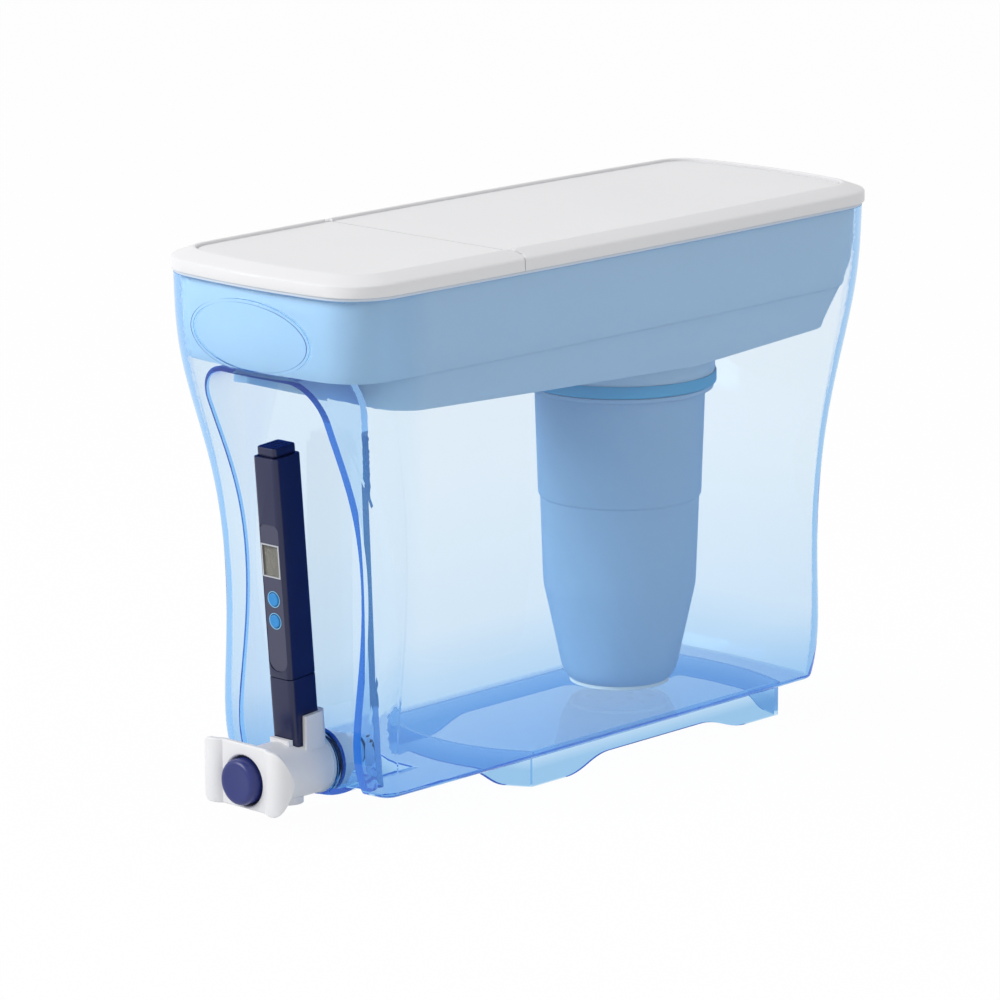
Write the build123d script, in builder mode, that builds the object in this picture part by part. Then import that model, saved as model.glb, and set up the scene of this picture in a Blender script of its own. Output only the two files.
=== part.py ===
"""Gravity water filter with tap: clear tank, lift-out reservoir with a screw-in cartridge,
two-piece lid with a flip-up filling flap, push-button tap and a pocket tester in its cradle.

Millimetres, +Z up. The tap end faces -Y, and Z = 0 is the plane that the foot ring stands on.
"""
import os
from math import acos, cos, degrees, radians, sin

from build123d import *

os.makedirs("parts", exist_ok=True)

# ---------------------------------------------------------------- driving dimensions
# Tank: a clear shell, long in Y, that flares out at both ends below its band
tank_y = 5.2                 # the tank's middle, behind the middle of tank and tap together
rim_z = 252.4                # top of the tank
floor_z = 15.3               # underside of the tank's floor
wall = 2.6                   # tank wall and floor
rim_half_length = 180.0      # middle to the end wall, at the corners of the rim
foot_half_length = 150.3
rim_half_width = 66.0
foot_half_width = 53.5
rim_corner_r = 26.0
foot_corner_r = 8.0
floor_edge_r = 3.5
rim_end_bow = 6.0            # how far each end wall swells past its corners
foot_end_bow = 3.0
rim_side_bow = 3.0
foot_side_bow = 1.2
flare_low_z = 100.0          # the end walls are straight below this
flare_high_z = 232.0         # and straight above this
flare_late = 1.5             # more than 1 holds the flare back towards the band

# Alcove in the front end, where the tap and the tester stand
alcove_half_width = 37.5
alcove_top_z = 211.0
alcove_foot_y = 144.7        # back wall, from the tank's middle, at the floor
alcove_head_y = 153.0        # and at the alcove's ceiling
alcove_corner_r = 17.0

# Oval pad raised on the front band
pad_half_width = 38.5
pad_half_height = 17.5
pad_z = 230.0
pad_rise = 0.8
pad_ring = 1.6
pad_start = rim_half_length / 2   # the pad's shape is taken from in front of this

# Foot ring under the floor
ring_half_width = 48.5
ring_front_y = 50.0
ring_back_y = 128.0
ring_front_bow = 15.0
ring_back_bow = 9.0
ring_wall = 2.2
arch_height = 7.0            # the ring is cut away between its feet
foot_length = 24.0
end_foot = 12.0              # what stays of each foot on the rounded ends
end_arch = 5.0
end_arch_run = 16.0

# Reservoir
fit_gap = 0.5                # reservoir to tank
reservoir_wall = 2.2
shoulder_z = 214.1
flange_t = 1.6
low_half_length = 146.4      # lower part, which clears the alcove
low_half_width = 58.6
low_corner_r = 13.0
low_bow = 1.8
side_draft = 1.8             # how much wider the lower part is at its shoulder
end_floor_z = 198.2          # underside at the two ends, which falls to the collar
low_floor_z = 190.0
end_floor_drop = 2.6         # the rear end's floor is this much lower than the front's
floor_shift = 12.0           # the lowest line lies this far in front of the collar's axis

# Cartridge and its collar
filter_y = 63.0              # cartridge axis, from the tank's middle
collar_r = 46.3
collar_z = 175.4
neck_r = 38.2
neck_gap = 0.35
gasket_t = 2.6
gasket_gap = 0.2
cup_flange_t = 2.4
cup_top_r = 41.6
cup_step_z = 118.0
cup_step_r = 39.9
cup_step = 1.0
cup_cone_z = 72.0
cup_cone_r = 37.4
cup_foot_r = 26.5
cup_foot_z = 21.4
cup_wall = 1.8
cup_round = 4.5
neck_height = 14.0
collar_bore_depth = 22.0
gasket_r = 45.6
drain_ring_r = 15.0
drain_count = 8
drain_r = 1.8
media_gap = 0.2
screen_t = 2.0
slot_ring_r = 22.0
slot_count = 12
slot_length = 18.0
slot_width = 2.6
screen_boss_r = 7.0
screen_boss_t = 2.5
foam_t = 5.0
membrane_t = 2.0

# Lid
lid_z = rim_z + flange_t
lid_overhang = 0.8
lid_side = 5.6
crest_inset = 9.7
crest_rise = 3.8
panel_inset = 13.7
panel_drop = 1.4
lid_wall = 2.4
seam_y = -75.0               # from the tank's middle
seam_gap = 0.3
locator_depth = 6.0          # the lid's rib that drops inside the reservoir
locator_t = 1.8
locator_gap = 0.6
locator_corner_r = 22.8

# Flap hinge
pin_drop = 1.0               # the hinge axis lies this far under the lid's panel
pin_r = 0.7
pin_gap = 0.06
pin_length = 7.0
flap_reach = 1.2             # the flap's top runs this far behind the axis
flap_back_gap = 0.5
flap_foot_drop = 1.0         # below this the flap ends at the axis
crest_relief = 2.95          # the rear lid's crest is cut back this far
relief_low = 1.6
knuckle_r = 1.6
knuckle_web = 2.2
finger_x = 59.3
finger_t = 2.4
finger_gap = 0.3

# Tap: distances forward are from the tank's middle
tap_z = 23.2
wall_hole_r = 9.4
shank_r = 9.0
shank_end = 121.0
boss_r = 15.5
boss_face = 146.4
boss_depth = 6.4
washer_t = 1.2
washer_r = 14.8
barrel_r = 14.2
front_face = 188.9
pocket_floor = 178.0         # where the button's pocket ends
partition = 3.6
plate_t = 3.2
plate_rise = 2.2             # the finger plate's middle lies this far above the tap's axis
plate_half_height = 15.4
plate_edge = 0.8
ear_at = 19.9                # centre line of each ear's roll, from the middle
ear_r = 8.5
ear_root = 44.5              # degrees from the roll's crest to the plate's flat middle
ear_tip = 84.5               # and to the ear's outer end
ear_run = 7.8                # how far the ear's edge runs back from the crest
ear_shoulder = 1.5
ear_lead = 1.5               # the narrowing begins this far before the crest
ear_clear = 0.5
ear_nose = 3.1
button_r = 11.3
button_gap = 0.9
button_out = 5.1
button_wall = 1.9
button_edge = 2.4
button_boss_r = 4.0
button_boss_length = 9.0
skirt_depth = 9.0
stem_r = 2.0
stem_gap = 0.08
seal_r = 7.6
seal_t = 3.0
seal_cap_r = 3.6
seal_cap_t = 1.6
shank_bore_r = 5.6
shank_bore_end = 146.0
channel_r = 3.8
channel_drop = 1.2           # the channel runs this far under the tap's axis
spout_r = 7.4
spout_bore_r = 5.0
spout_at = 164.0
spout_end_z = 7.6
spring_r = 6.0
spring_wire_r = 0.8
spring_turns = 4.5
spring_wire_sides = 6        # the fine wire is drawn with flat sides
nut_t = 7.0
nut_across = 24.0
inner_gasket_t = 2.0
inner_gasket_r = 12.0
shank_fit = 0.05

# Sump in the tank's floor, which makes room for the tap's nut
sump_r = 47.0
sump_z = 54.5                # height of the sump's centre line
sump_end = 104.0             # forward of the tank's middle

# Pocket tester and its cradle: lengths along the tester start at its foot
tester_lean = 4.5            # degrees, head towards -Y
tester_at = 157.1
tester_foot_z = 30.6
tester_width = 15.0
tester_depth = 17.4
tester_corner = 2.6
cap_length = 37.5
cap_wall = 1.2
cap_floor = 1.5
body_length = 105.8
body_wall = 1.6
head_length = 4.6
head_inset = 1.5
head_grooves = 4
groove_width = 1.0
groove_depth = 0.9
nose_length = 13.0
nose_inset = 1.3
probe_r = 0.9
probe_out = 9.0
probe_in = 5.0
probe_spread = 5.0
panel_low = 40.8
panel_high = 111.5
panel_width = 12.0
panel_sunk = 0.4
label_t = 0.4
window_low = 86.3
window_high = 102.0
window_width = 11.2
window_t = 1.5
module_t = 1.6
upper_button = 75.7
lower_button = 65.2
tester_button_r = 3.2
tester_button_gap = 0.3
tester_button_out = 0.7
tester_button_lip = 0.8
lip_t = 0.8
lower_cavity = 46.0
battery_floor_t = 2.4
battery_plug = 2.3           # the battery cover's plug reaches this far into the body
cell_r = 5.7
cell_t = 5.4
cell_rise = 1.0              # how far each cell's contact stands above its can
cell_shoulder = 1.5
cell_count = 4
contact_r = 2.0
board_low = 52.0
board_end_gap = 2.0          # between the board's top and the battery floor
board_t = 1.2
tester_gap = 0.35
cradle_wall = 2.4
cradle_back = 19.2           # height of the cradle's back above the tester's foot
cradle_lip = 8.0
cradle_lip_half = 6.2        # the lip is narrower than the tester's front
sides_front = 161.5          # the cradle's sides end here, forward of the tank's middle
cradle_root = 6.0

# ---------------------------------------------------------------- shared outlines
def blend(low, high, share):
    """A value between low and high."""
    return low + (high - low) * share


def flare(z):
    """Share of the end walls' flare reached at height z, from 0 to 1."""
    t = min(max((z - flare_low_z) / (flare_high_z - flare_low_z), 0.0), 1.0)
    return (t * t * (3 - 2 * t)) ** flare_late


def bowed_outline(z, half_length, half_width, end_bow, side_bow, corner_r):
    """A rectangle with four slightly bowed sides and round corners, as a sketch at height z."""
    with BuildSketch(Plane((0, tank_y, z)), mode=Mode.PRIVATE) as sketch:
        with BuildLine():
            for side in (-1, 1):
                ThreePointArc(
                    (-half_width, side * half_length),
                    (0, side * (half_length + end_bow)),
                    (half_width, side * half_length),
                )
                ThreePointArc(
                    (side * half_width, -half_length),
                    (side * (half_width + side_bow), 0),
                    (side * half_width, half_length),
                )
        make_face()
        fillet(sketch.vertices(), corner_r)
    return sketch.sketch


def tank_outline(z, inset=0.0):
    """The tank's outline at height z, moved inwards by inset."""
    rise = (z - floor_z) / (rim_z - floor_z)
    out = flare(z)
    return bowed_outline(
        z,
        blend(foot_half_length, rim_half_length, out) - inset,
        blend(foot_half_width, rim_half_width, rise) - inset,
        blend(foot_end_bow, rim_end_bow, out),
        blend(foot_side_bow, rim_side_bow, rise),
        blend(foot_corner_r, rim_corner_r, out) - min(inset, wall),
    )


def lid_outline(z, inset=0.0, corner_r=rim_corner_r):
    """The lid's outline, moved inwards by inset."""
    return bowed_outline(
        z,
        rim_half_length + lid_overhang - inset,
        rim_half_width + lid_overhang - inset,
        rim_end_bow,
        rim_side_bow,
        corner_r,
    )


# ---------------------------------------------------------------- tank
flare_step = (flare_high_z - flare_low_z) / 5
wall_heights = [floor_z, flare_low_z]
wall_heights += [flare_low_z + flare_step * i for i in range(1, 6)]
wall_heights += [rim_z]

with BuildPart() as alcove_space:
    with BuildSketch(Plane.YZ):
        with BuildLine():
            Polyline(
                (tank_y - 230, -5),
                (tank_y - alcove_foot_y, -5),
                (tank_y - alcove_head_y, alcove_top_z),
                (tank_y - 230, alcove_top_z),
                close=True,
            )
        make_face()
    extrude(amount=alcove_half_width, both=True)
    fillet(alcove_space.edges().filter_by(Axis.Y).group_by(Axis.Z)[-1], alcove_corner_r)

with BuildPart() as alcove_shell:
    with BuildSketch(Plane.YZ):
        with BuildLine():
            Polyline(
                (tank_y - 230, -5),
                (tank_y - alcove_foot_y + wall, -5),
                (tank_y - alcove_head_y + wall, alcove_top_z + wall),
                (tank_y - 230, alcove_top_z + wall),
                close=True,
            )
        make_face()
    extrude(amount=alcove_half_width + wall, both=True)
    fillet(
        alcove_shell.edges().filter_by(Axis.Y).group_by(Axis.Z)[-1],
        alcove_corner_r + wall,
    )


def sump_form(radius, end, lift):
    """A trough under the floor, from in front of the alcove's back wall to its rear end."""
    with BuildPart(mode=Mode.PRIVATE) as trough:
        with BuildSketch(Plane((0, tank_y - end, sump_z), x_dir=(1, 0, 0), z_dir=(0, -1, 0))):
            Circle(radius)
        extrude(amount=60)
        with BuildSketch(Plane.YZ):
            with BuildLine():
                Polyline(
                    (tank_y - end, floor_z + lift),
                    (tank_y - end - 8, floor_z + lift - 8),
                    (tank_y - end - 8, floor_z + lift - 20),
                    (tank_y - end - 70, floor_z + lift - 20),
                    (tank_y - end - 70, floor_z + lift),
                    close=True,
                )
            make_face()
        extrude(amount=sump_r, both=True, mode=Mode.INTERSECT)
    return trough.part


sump_outside = sump_form(sump_r, sump_end, 1.0)
sump_inside = sump_form(sump_r - wall, sump_end + wall, wall + 1.0)

with BuildPart() as tank_hollow:
    hollow_heights = [floor_z + wall] + wall_heights[1:-1] + [rim_z + 4]
    loft([tank_outline(z, wall) for z in hollow_heights])
    add(sump_inside)
    add(alcove_shell.part, mode=Mode.SUBTRACT)

pad_plane = Plane((0, tank_y - pad_start, pad_z), x_dir=(1, 0, 0), z_dir=(0, -1, 0))

with BuildPart() as pad_skin:
    loft([tank_outline(z, -pad_rise) for z in (pad_z - 24, pad_z, pad_z + 20)])
    with BuildSketch(pad_plane):
        Ellipse(pad_half_width, pad_half_height)
    extrude(amount=rim_half_length, mode=Mode.INTERSECT)

with BuildPart() as pad_dish:
    loft([tank_outline(z, -2 * pad_rise) for z in (pad_z - 24, pad_z, pad_z + 20)])
    loft([tank_outline(z) for z in (pad_z - 24, pad_z, pad_z + 20)], mode=Mode.SUBTRACT)
    with BuildSketch(pad_plane):
        Ellipse(pad_half_width - pad_ring, pad_half_height - pad_ring)
    extrude(amount=rim_half_length, mode=Mode.INTERSECT)

with BuildPart() as ring_arches:
    # between the two feet of each long side
    with BuildSketch(Plane.YZ):
        with BuildLine():
            foot_end = tank_y - ring_front_y + foot_length
            arch_start = foot_end + 30
            arch_end = tank_y + ring_back_y - foot_length - 34
            back_foot = tank_y + ring_back_y - foot_length
            Spline((foot_end, 0), (arch_start, arch_height), tangents=((1, 0), (1, 0)))
            Line((arch_start, arch_height), (arch_end, arch_height))
            Spline((arch_end, arch_height), (back_foot, 0), tangents=((1, 0), (1, 0)))
            Polyline((back_foot, 0), (back_foot, -6), (foot_end, -6), (foot_end, 0))
        make_face()
    extrude(amount=ring_half_width + 20, both=True)
    # and a lower one across each rounded end
    with BuildSketch(Plane.XZ):
        with BuildLine():
            wide = ring_half_width - end_foot
            flat = wide - end_arch_run
            Spline((-wide, 0), (-flat, end_arch), tangents=((1, 0), (1, 0)))
            Line((-flat, end_arch), (flat, end_arch))
            Spline((flat, end_arch), (wide, 0), tangents=((1, 0), (1, 0)))
            Polyline((wide, 0), (wide, -6), (-wide, -6), (-wide, 0))
        make_face()
    extrude(amount=rim_half_length, both=True)

with BuildPart() as tank:
    loft([tank_outline(z) for z in wall_heights])
    fillet(tank.faces().sort_by(Axis.Z)[0].edges(), floor_edge_r)
    add(sump_outside)
    add(alcove_space.part, mode=Mode.SUBTRACT)
    add(tank_hollow.part, mode=Mode.SUBTRACT)
    add(pad_skin.part)
    add(pad_dish.part, mode=Mode.SUBTRACT)
    add(tank_hollow.part, mode=Mode.SUBTRACT)
    # round boss with flat faces that the tap's washer and gasket seat on
    with BuildSketch(Plane((0, tank_y - boss_face, tap_z), z_dir=(0, 1, 0))):
        Circle(boss_r)
    extrude(amount=boss_depth)
    with BuildSketch(Plane((0, tank_y - boss_face - 1, tap_z), z_dir=(0, 1, 0))):
        Circle(wall_hole_r)
    extrude(amount=boss_depth + 2, mode=Mode.SUBTRACT)
    # foot ring
    with BuildSketch(Plane.XY):
        with BuildLine():
            ThreePointArc(
                (-ring_half_width, tank_y - ring_front_y),
                (0, tank_y - ring_front_y - ring_front_bow),
                (ring_half_width, tank_y - ring_front_y),
            )
            Line((ring_half_width, tank_y - ring_front_y), (ring_half_width, tank_y + ring_back_y))
            ThreePointArc(
                (ring_half_width, tank_y + ring_back_y),
                (0, tank_y + ring_back_y + ring_back_bow),
                (-ring_half_width, tank_y + ring_back_y),
            )
            Line((-ring_half_width, tank_y + ring_back_y), (-ring_half_width, tank_y - ring_front_y))
        make_face()
        offset(amount=-ring_wall, mode=Mode.SUBTRACT)
    extrude(amount=floor_z + 0.5)
    add(ring_arches.part, mode=Mode.SUBTRACT)
tank.part.label = "tank"
export_step(tank.part, "parts/tank.step")

# ---------------------------------------------------------------- reservoir
filter_axis = Plane((0, tank_y + filter_y, 0))


def hopper_core(inset, top_z):
    """The reservoir's outer form moved inwards by inset: a wide band over a narrower trough
    whose floor falls from both ends to the collar."""
    band_z = shoulder_z + inset
    with BuildPart() as core:
        loft([tank_outline(z, wall + fit_gap + inset) for z in (band_z, flare_high_z, top_z)])
        trough = []
        for z, grow in ((low_floor_z - 4, 0.0), (band_z + 1, side_draft)):
            trough.append(
                bowed_outline(
                    z,
                    low_half_length + grow - inset,
                    low_half_width + grow - inset,
                    low_bow,
                    low_bow,
                    low_corner_r - inset,
                )
            )
        loft(trough)
        with BuildSketch(Plane.YZ):
            with BuildLine():
                Polyline(
                    (tank_y - low_half_length - 9, end_floor_z + inset),
                    (tank_y + filter_y - floor_shift, low_floor_z + inset),
                    (tank_y + low_half_length + 9, end_floor_z + inset - end_floor_drop),
                    (tank_y + low_half_length + 9, low_floor_z - 9),
                    (tank_y - low_half_length - 9, low_floor_z - 9),
                    close=True,
                )
            make_face()
        extrude(amount=low_half_width + 20, both=True, mode=Mode.SUBTRACT)
    return core.part


with BuildPart() as hopper:
    add(hopper_core(0.0, rim_z))
    # collar that the cartridge screws into
    with BuildSketch(filter_axis.offset(collar_z)):
        Circle(collar_r)
    extrude(amount=low_floor_z + 3 - collar_z)
    # flange that hangs on the tank's rim
    extrude(tank_outline(rim_z), amount=flange_t)
    add(hopper_core(reservoir_wall, lid_z + 1), mode=Mode.SUBTRACT)
    with BuildSketch(filter_axis.offset(collar_z - 1)):
        Circle(neck_r + neck_gap)
    extrude(amount=collar_bore_depth, mode=Mode.SUBTRACT)
hopper.part.label = "hopper"
export_step(hopper.part, "parts/hopper.step")

# ---------------------------------------------------------------- cartridge
flange_top = collar_z - gasket_gap - gasket_t
flange_under = flange_top - cup_flange_t
neck_top = flange_top + neck_height
neck_bore_r = neck_r - cup_wall
cup_bore_step_r = cup_step_r - cup_wall - cup_step
cup_bore_cone_r = cup_cone_r - cup_wall
cup_bore_foot_r = cup_foot_r - cup_wall
cup_floor_z = cup_foot_z + cup_wall

with BuildPart() as cartridge_shell:
    with BuildSketch(Plane((0, tank_y + filter_y, 0), x_dir=(1, 0, 0), z_dir=(0, -1, 0))) as half:
        with BuildLine():
            Polyline(
                (0, cup_foot_z),
                (cup_foot_r, cup_foot_z),
                (cup_cone_r, cup_cone_z),
                (cup_step_r - cup_step, cup_step_z - 1.5),
                (cup_step_r, cup_step_z),
                (cup_top_r, flange_under),
                (gasket_r, flange_under),
                (gasket_r, flange_top),
                (neck_r, flange_top),
                (neck_r, neck_top),
                (neck_bore_r, neck_top),
                (neck_bore_r, flange_top - 4),
                (cup_bore_step_r + cup_step, cup_step_z),
                (cup_bore_step_r, cup_step_z - 1.5),
                (cup_bore_cone_r, cup_cone_z),
                (cup_bore_foot_r, cup_floor_z),
                (0, cup_floor_z),
                close=True,
            )
        make_face()
        foot_corner = half.vertices().sort_by_distance((cup_foot_r, tank_y + filter_y, cup_foot_z))[0]
        fillet(foot_corner, cup_round)
    revolve(axis=Axis((0, tank_y + filter_y, 0), (0, 0, 1)))
    # drain holes in the foot
    with BuildSketch(filter_axis.offset(cup_foot_z - 1)):
        with PolarLocations(drain_ring_r, drain_count):
            Circle(drain_r)
        with PolarLocations(drain_ring_r / 2, drain_count // 2):
            Circle(drain_r)
    extrude(amount=cup_wall + 2, mode=Mode.SUBTRACT)
cartridge_shell.part.label = "cartridge_shell"
export_step(cartridge_shell.part, "parts/cartridge_shell.step")

with BuildPart() as cartridge_gasket:
    with BuildSketch(filter_axis.offset(flange_top)):
        Circle(gasket_r)
        Circle(neck_r + 0.1, mode=Mode.SUBTRACT)
    extrude(amount=gasket_t)
    chamfer(cartridge_gasket.edges().filter_by(GeomType.CIRCLE).sort_by(SortBy.RADIUS)[-2:], 0.5)
cartridge_gasket.part.label = "cartridge_gasket"
export_step(cartridge_gasket.part, "parts/cartridge_gasket.step")

with BuildPart() as inlet_screen:
    with BuildSketch(filter_axis.offset(neck_top - screen_t)):
        Circle(neck_bore_r - media_gap)
        with PolarLocations(slot_ring_r, slot_count, start_angle=0):
            Rectangle(slot_length, slot_width, mode=Mode.SUBTRACT)
    extrude(amount=screen_t)
    with BuildSketch(filter_axis.offset(neck_top)):
        Circle(screen_boss_r)
    extrude(amount=screen_boss_t)
inlet_screen.part.label = "inlet_screen"
export_step(inlet_screen.part, "parts/inlet_screen.step")


def cup_bore_r(z):
    """Radius of the cup's bore at height z, below its flange."""
    if z >= cup_step_z:
        share = (z - cup_step_z) / (flange_top - 4 - cup_step_z)
        return blend(cup_bore_step_r + cup_step, neck_bore_r, share)
    if z >= cup_cone_z:
        share = (z - cup_cone_z) / (cup_step_z - 1.5 - cup_cone_z)
        return blend(cup_bore_cone_r, cup_bore_step_r, min(share, 1.0))
    return blend(cup_bore_foot_r, cup_bore_cone_r, (z - cup_floor_z) / (cup_cone_z - cup_floor_z))


foam_top = neck_top - screen_t
foam_under = foam_top - foam_t
bed_joint_z = cup_step_z - 6
membrane_top = cup_floor_z + membrane_t

with BuildPart() as foam_disc:
    with BuildSketch(filter_axis.offset(foam_under)):
        Circle(neck_bore_r - media_gap)
    extrude(amount=foam_t)
foam_disc.part.label = "foam_disc"
export_step(foam_disc.part, "parts/foam_disc.step")

with BuildPart() as carbon_bed:
    with BuildSketch(Plane((0, tank_y + filter_y, 0), x_dir=(1, 0, 0), z_dir=(0, -1, 0))):
        with BuildLine():
            Polyline(
                (0, bed_joint_z),
                (cup_bore_r(bed_joint_z) - media_gap, bed_joint_z),
                (cup_bore_step_r - media_gap, cup_step_z - 1.5),
                (cup_bore_step_r + cup_step - media_gap, cup_step_z),
                (neck_bore_r - media_gap, flange_top - 4),
                (neck_bore_r - media_gap, foam_under),
                (0, foam_under),
                close=True,
            )
        make_face()
    revolve(axis=Axis((0, tank_y + filter_y, 0), (0, 0, 1)))
carbon_bed.part.label = "carbon_bed"
export_step(carbon_bed.part, "parts/carbon_bed.step")

with BuildPart() as resin_bed:
    with BuildSketch(Plane((0, tank_y + filter_y, 0), x_dir=(1, 0, 0), z_dir=(0, -1, 0))):
        with BuildLine():
            Polyline(
                (0, membrane_top),
                (cup_bore_r(membrane_top) - media_gap, membrane_top),
                (cup_bore_cone_r - media_gap, cup_cone_z),
                (cup_bore_r(bed_joint_z) - media_gap, bed_joint_z),
                (0, bed_joint_z),
                close=True,
            )
        make_face()
    revolve(axis=Axis((0, tank_y + filter_y, 0), (0, 0, 1)))
resin_bed.part.label = "resin_bed"
export_step(resin_bed.part, "parts/resin_bed.step")

with BuildPart() as outlet_membrane:
    with BuildSketch(filter_axis.offset(cup_floor_z)):
        Circle(cup_bore_foot_r - media_gap)
    extrude(amount=membrane_t)
outlet_membrane.part.label = "outlet_membrane"
export_step(outlet_membrane.part, "parts/outlet_membrane.step")

# ---------------------------------------------------------------- lid
lid_side_z = lid_z + lid_side
crest_z = lid_side_z + crest_rise
panel_z = crest_z - panel_drop
under_z = panel_z - lid_wall
crest_corner_r = rim_corner_r - crest_inset
hinge_y = tank_y + seam_y - flap_reach
hinge_plane = Plane((0, hinge_y, panel_z - pin_drop), x_dir=(0, 1, 0), z_dir=(1, 0, 0))

with BuildPart() as lid_blank:
    extrude(lid_outline(lid_z), amount=lid_side)
    loft([lid_outline(lid_side_z), lid_outline(crest_z, crest_inset, crest_corner_r)])
    loft(
        [
            lid_outline(crest_z, crest_inset, crest_corner_r),
            lid_outline(panel_z, panel_inset, crest_corner_r - 4),
        ],
        mode=Mode.SUBTRACT,
    )
    # hollow underside, and the rib that drops inside the reservoir
    extrude(lid_outline(lid_z - 1, lid_wall), amount=under_z - lid_z + 1, mode=Mode.SUBTRACT)
    locator_inset = lid_overhang + wall + fit_gap + reservoir_wall + locator_gap
    extrude(
        lid_outline(lid_z - locator_depth, locator_inset, locator_corner_r),
        amount=under_z - lid_z + locator_depth,
    )
    extrude(
        lid_outline(lid_z - locator_depth - 1, locator_inset + locator_t, locator_corner_r - locator_t),
        amount=under_z - lid_z + locator_depth + 1,
        mode=Mode.SUBTRACT,
    )

lid_reach = 2 * rim_half_length + 60
lid_low = panel_z - pin_drop - 20

with BuildPart() as lid_rear:
    add(lid_blank.part)
    # what lies in front of the seam belongs to the flap, which needs room to turn
    with BuildSketch(Plane((0, hinge_y + flap_back_gap - lid_reach / 2, lid_low))):
        Rectangle(lid_reach, lid_reach)
    extrude(amount=40, mode=Mode.SUBTRACT)
    turning_r = (flap_reach**2 + pin_drop**2) ** 0.5 + seam_gap
    with BuildSketch(hinge_plane):
        Circle(turning_r)
    extrude(amount=rim_half_width + 10, both=True, mode=Mode.SUBTRACT)
    for side in (-1, 1):
        with BuildSketch(hinge_plane.offset(side * (rim_half_width + rim_side_bow - panel_inset))):
            with BuildLine():
                Polyline(
                    (0, -relief_low),
                    (1, -relief_low),
                    (crest_relief, 0),
                    (crest_relief, 6),
                    (0, 6),
                    close=True,
                )
            make_face()
        extrude(amount=side * 20, mode=Mode.SUBTRACT)
    # fingers that the hinge pins pass through
    for side in (-1, 1):
        with BuildSketch(hinge_plane.offset(side * finger_x - finger_t / 2)):
            Circle(knuckle_r)
            with Locations((crest_relief / 2 + 1, 0)):
                Rectangle(crest_relief + 2, knuckle_web)
            Circle(pin_r + pin_gap, mode=Mode.SUBTRACT)
        extrude(amount=finger_t)
lid_rear.part.label = "lid_rear"
export_step(lid_rear.part, "parts/lid_rear.step")

with BuildPart() as lid_flap:
    add(lid_blank.part)
    with BuildSketch(hinge_plane):
        with BuildLine():
            Polyline(
                (0, -30),
                (0, -flap_foot_drop),
                (flap_reach, -flap_foot_drop),
                (flap_reach, pin_drop),
                (flap_reach - panel_drop - 2, pin_drop + panel_drop + 2),
                (flap_reach + lid_reach, pin_drop + panel_drop + 2),
                (flap_reach + lid_reach, -30),
                close=True,
            )
        make_face()
    extrude(amount=rim_half_width + 20, both=True, mode=Mode.SUBTRACT)
    # slots for the fingers, and bores for the pins
    for side in (-1, 1):
        with BuildSketch(hinge_plane.offset(side * finger_x - finger_t / 2 - finger_gap)):
            with Locations((knuckle_r / 2, knuckle_r)):
                Rectangle(3 * knuckle_r + 2 * finger_gap, 4 * knuckle_r + 2 * finger_gap)
        extrude(amount=finger_t + 2 * finger_gap, mode=Mode.SUBTRACT)
        with BuildSketch(hinge_plane.offset(side * finger_x - pin_length / 2)):
            Circle(pin_r)
        extrude(amount=pin_length, mode=Mode.SUBTRACT)
lid_flap.part.label = "lid_flap"
export_step(lid_flap.part, "parts/lid_flap.step")

with BuildPart() as flap_pins:
    for side in (-1, 1):
        with BuildSketch(hinge_plane.offset(side * finger_x - pin_length / 2)):
            Circle(pin_r)
        extrude(amount=pin_length)
flap_pins.part.label = "flap_pins"
export_step(flap_pins.part, "parts/flap_pins.step")

# ---------------------------------------------------------------- tap
def tap_plane(forward):
    """Plane across the tap's axis, facing forward, with its own y upwards."""
    return Plane((0, tank_y - forward, tap_z), x_dir=(1, 0, 0), z_dir=(0, -1, 0))


tester_plane = Plane(
    (0, tank_y - tester_at, tester_foot_z),
    x_dir=(1, 0, 0),
    z_dir=(0, -sin(radians(tester_lean)), cos(radians(tester_lean))),
)
barrel_back = boss_face + washer_t
plate_front = front_face + plate_t
button_front = plate_front + button_out
button_back = plate_front - skirt_depth
button_inner = button_front - button_wall

ear_forward = plate_front - ear_r * cos(radians(ear_root))
ear_inner_r = ear_r - plate_t
ear_inner_root = degrees(acos((front_face - ear_forward) / ear_inner_r))


def ear_point(side, radius, angle):
    """A point of an ear's roll, where angle is 0 at the crest and grows outwards."""
    turn = radians(angle)
    return (side * (ear_at + radius * sin(turn)), -ear_forward - radius * cos(turn))


def ear_arc(side, radius, root):
    """Arc of an ear's roll, from its root to its outer end."""
    middle = (ear_tip - root) / 2
    return ThreePointArc(*[ear_point(side, radius, angle) for angle in (-root, middle, ear_tip)])


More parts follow.
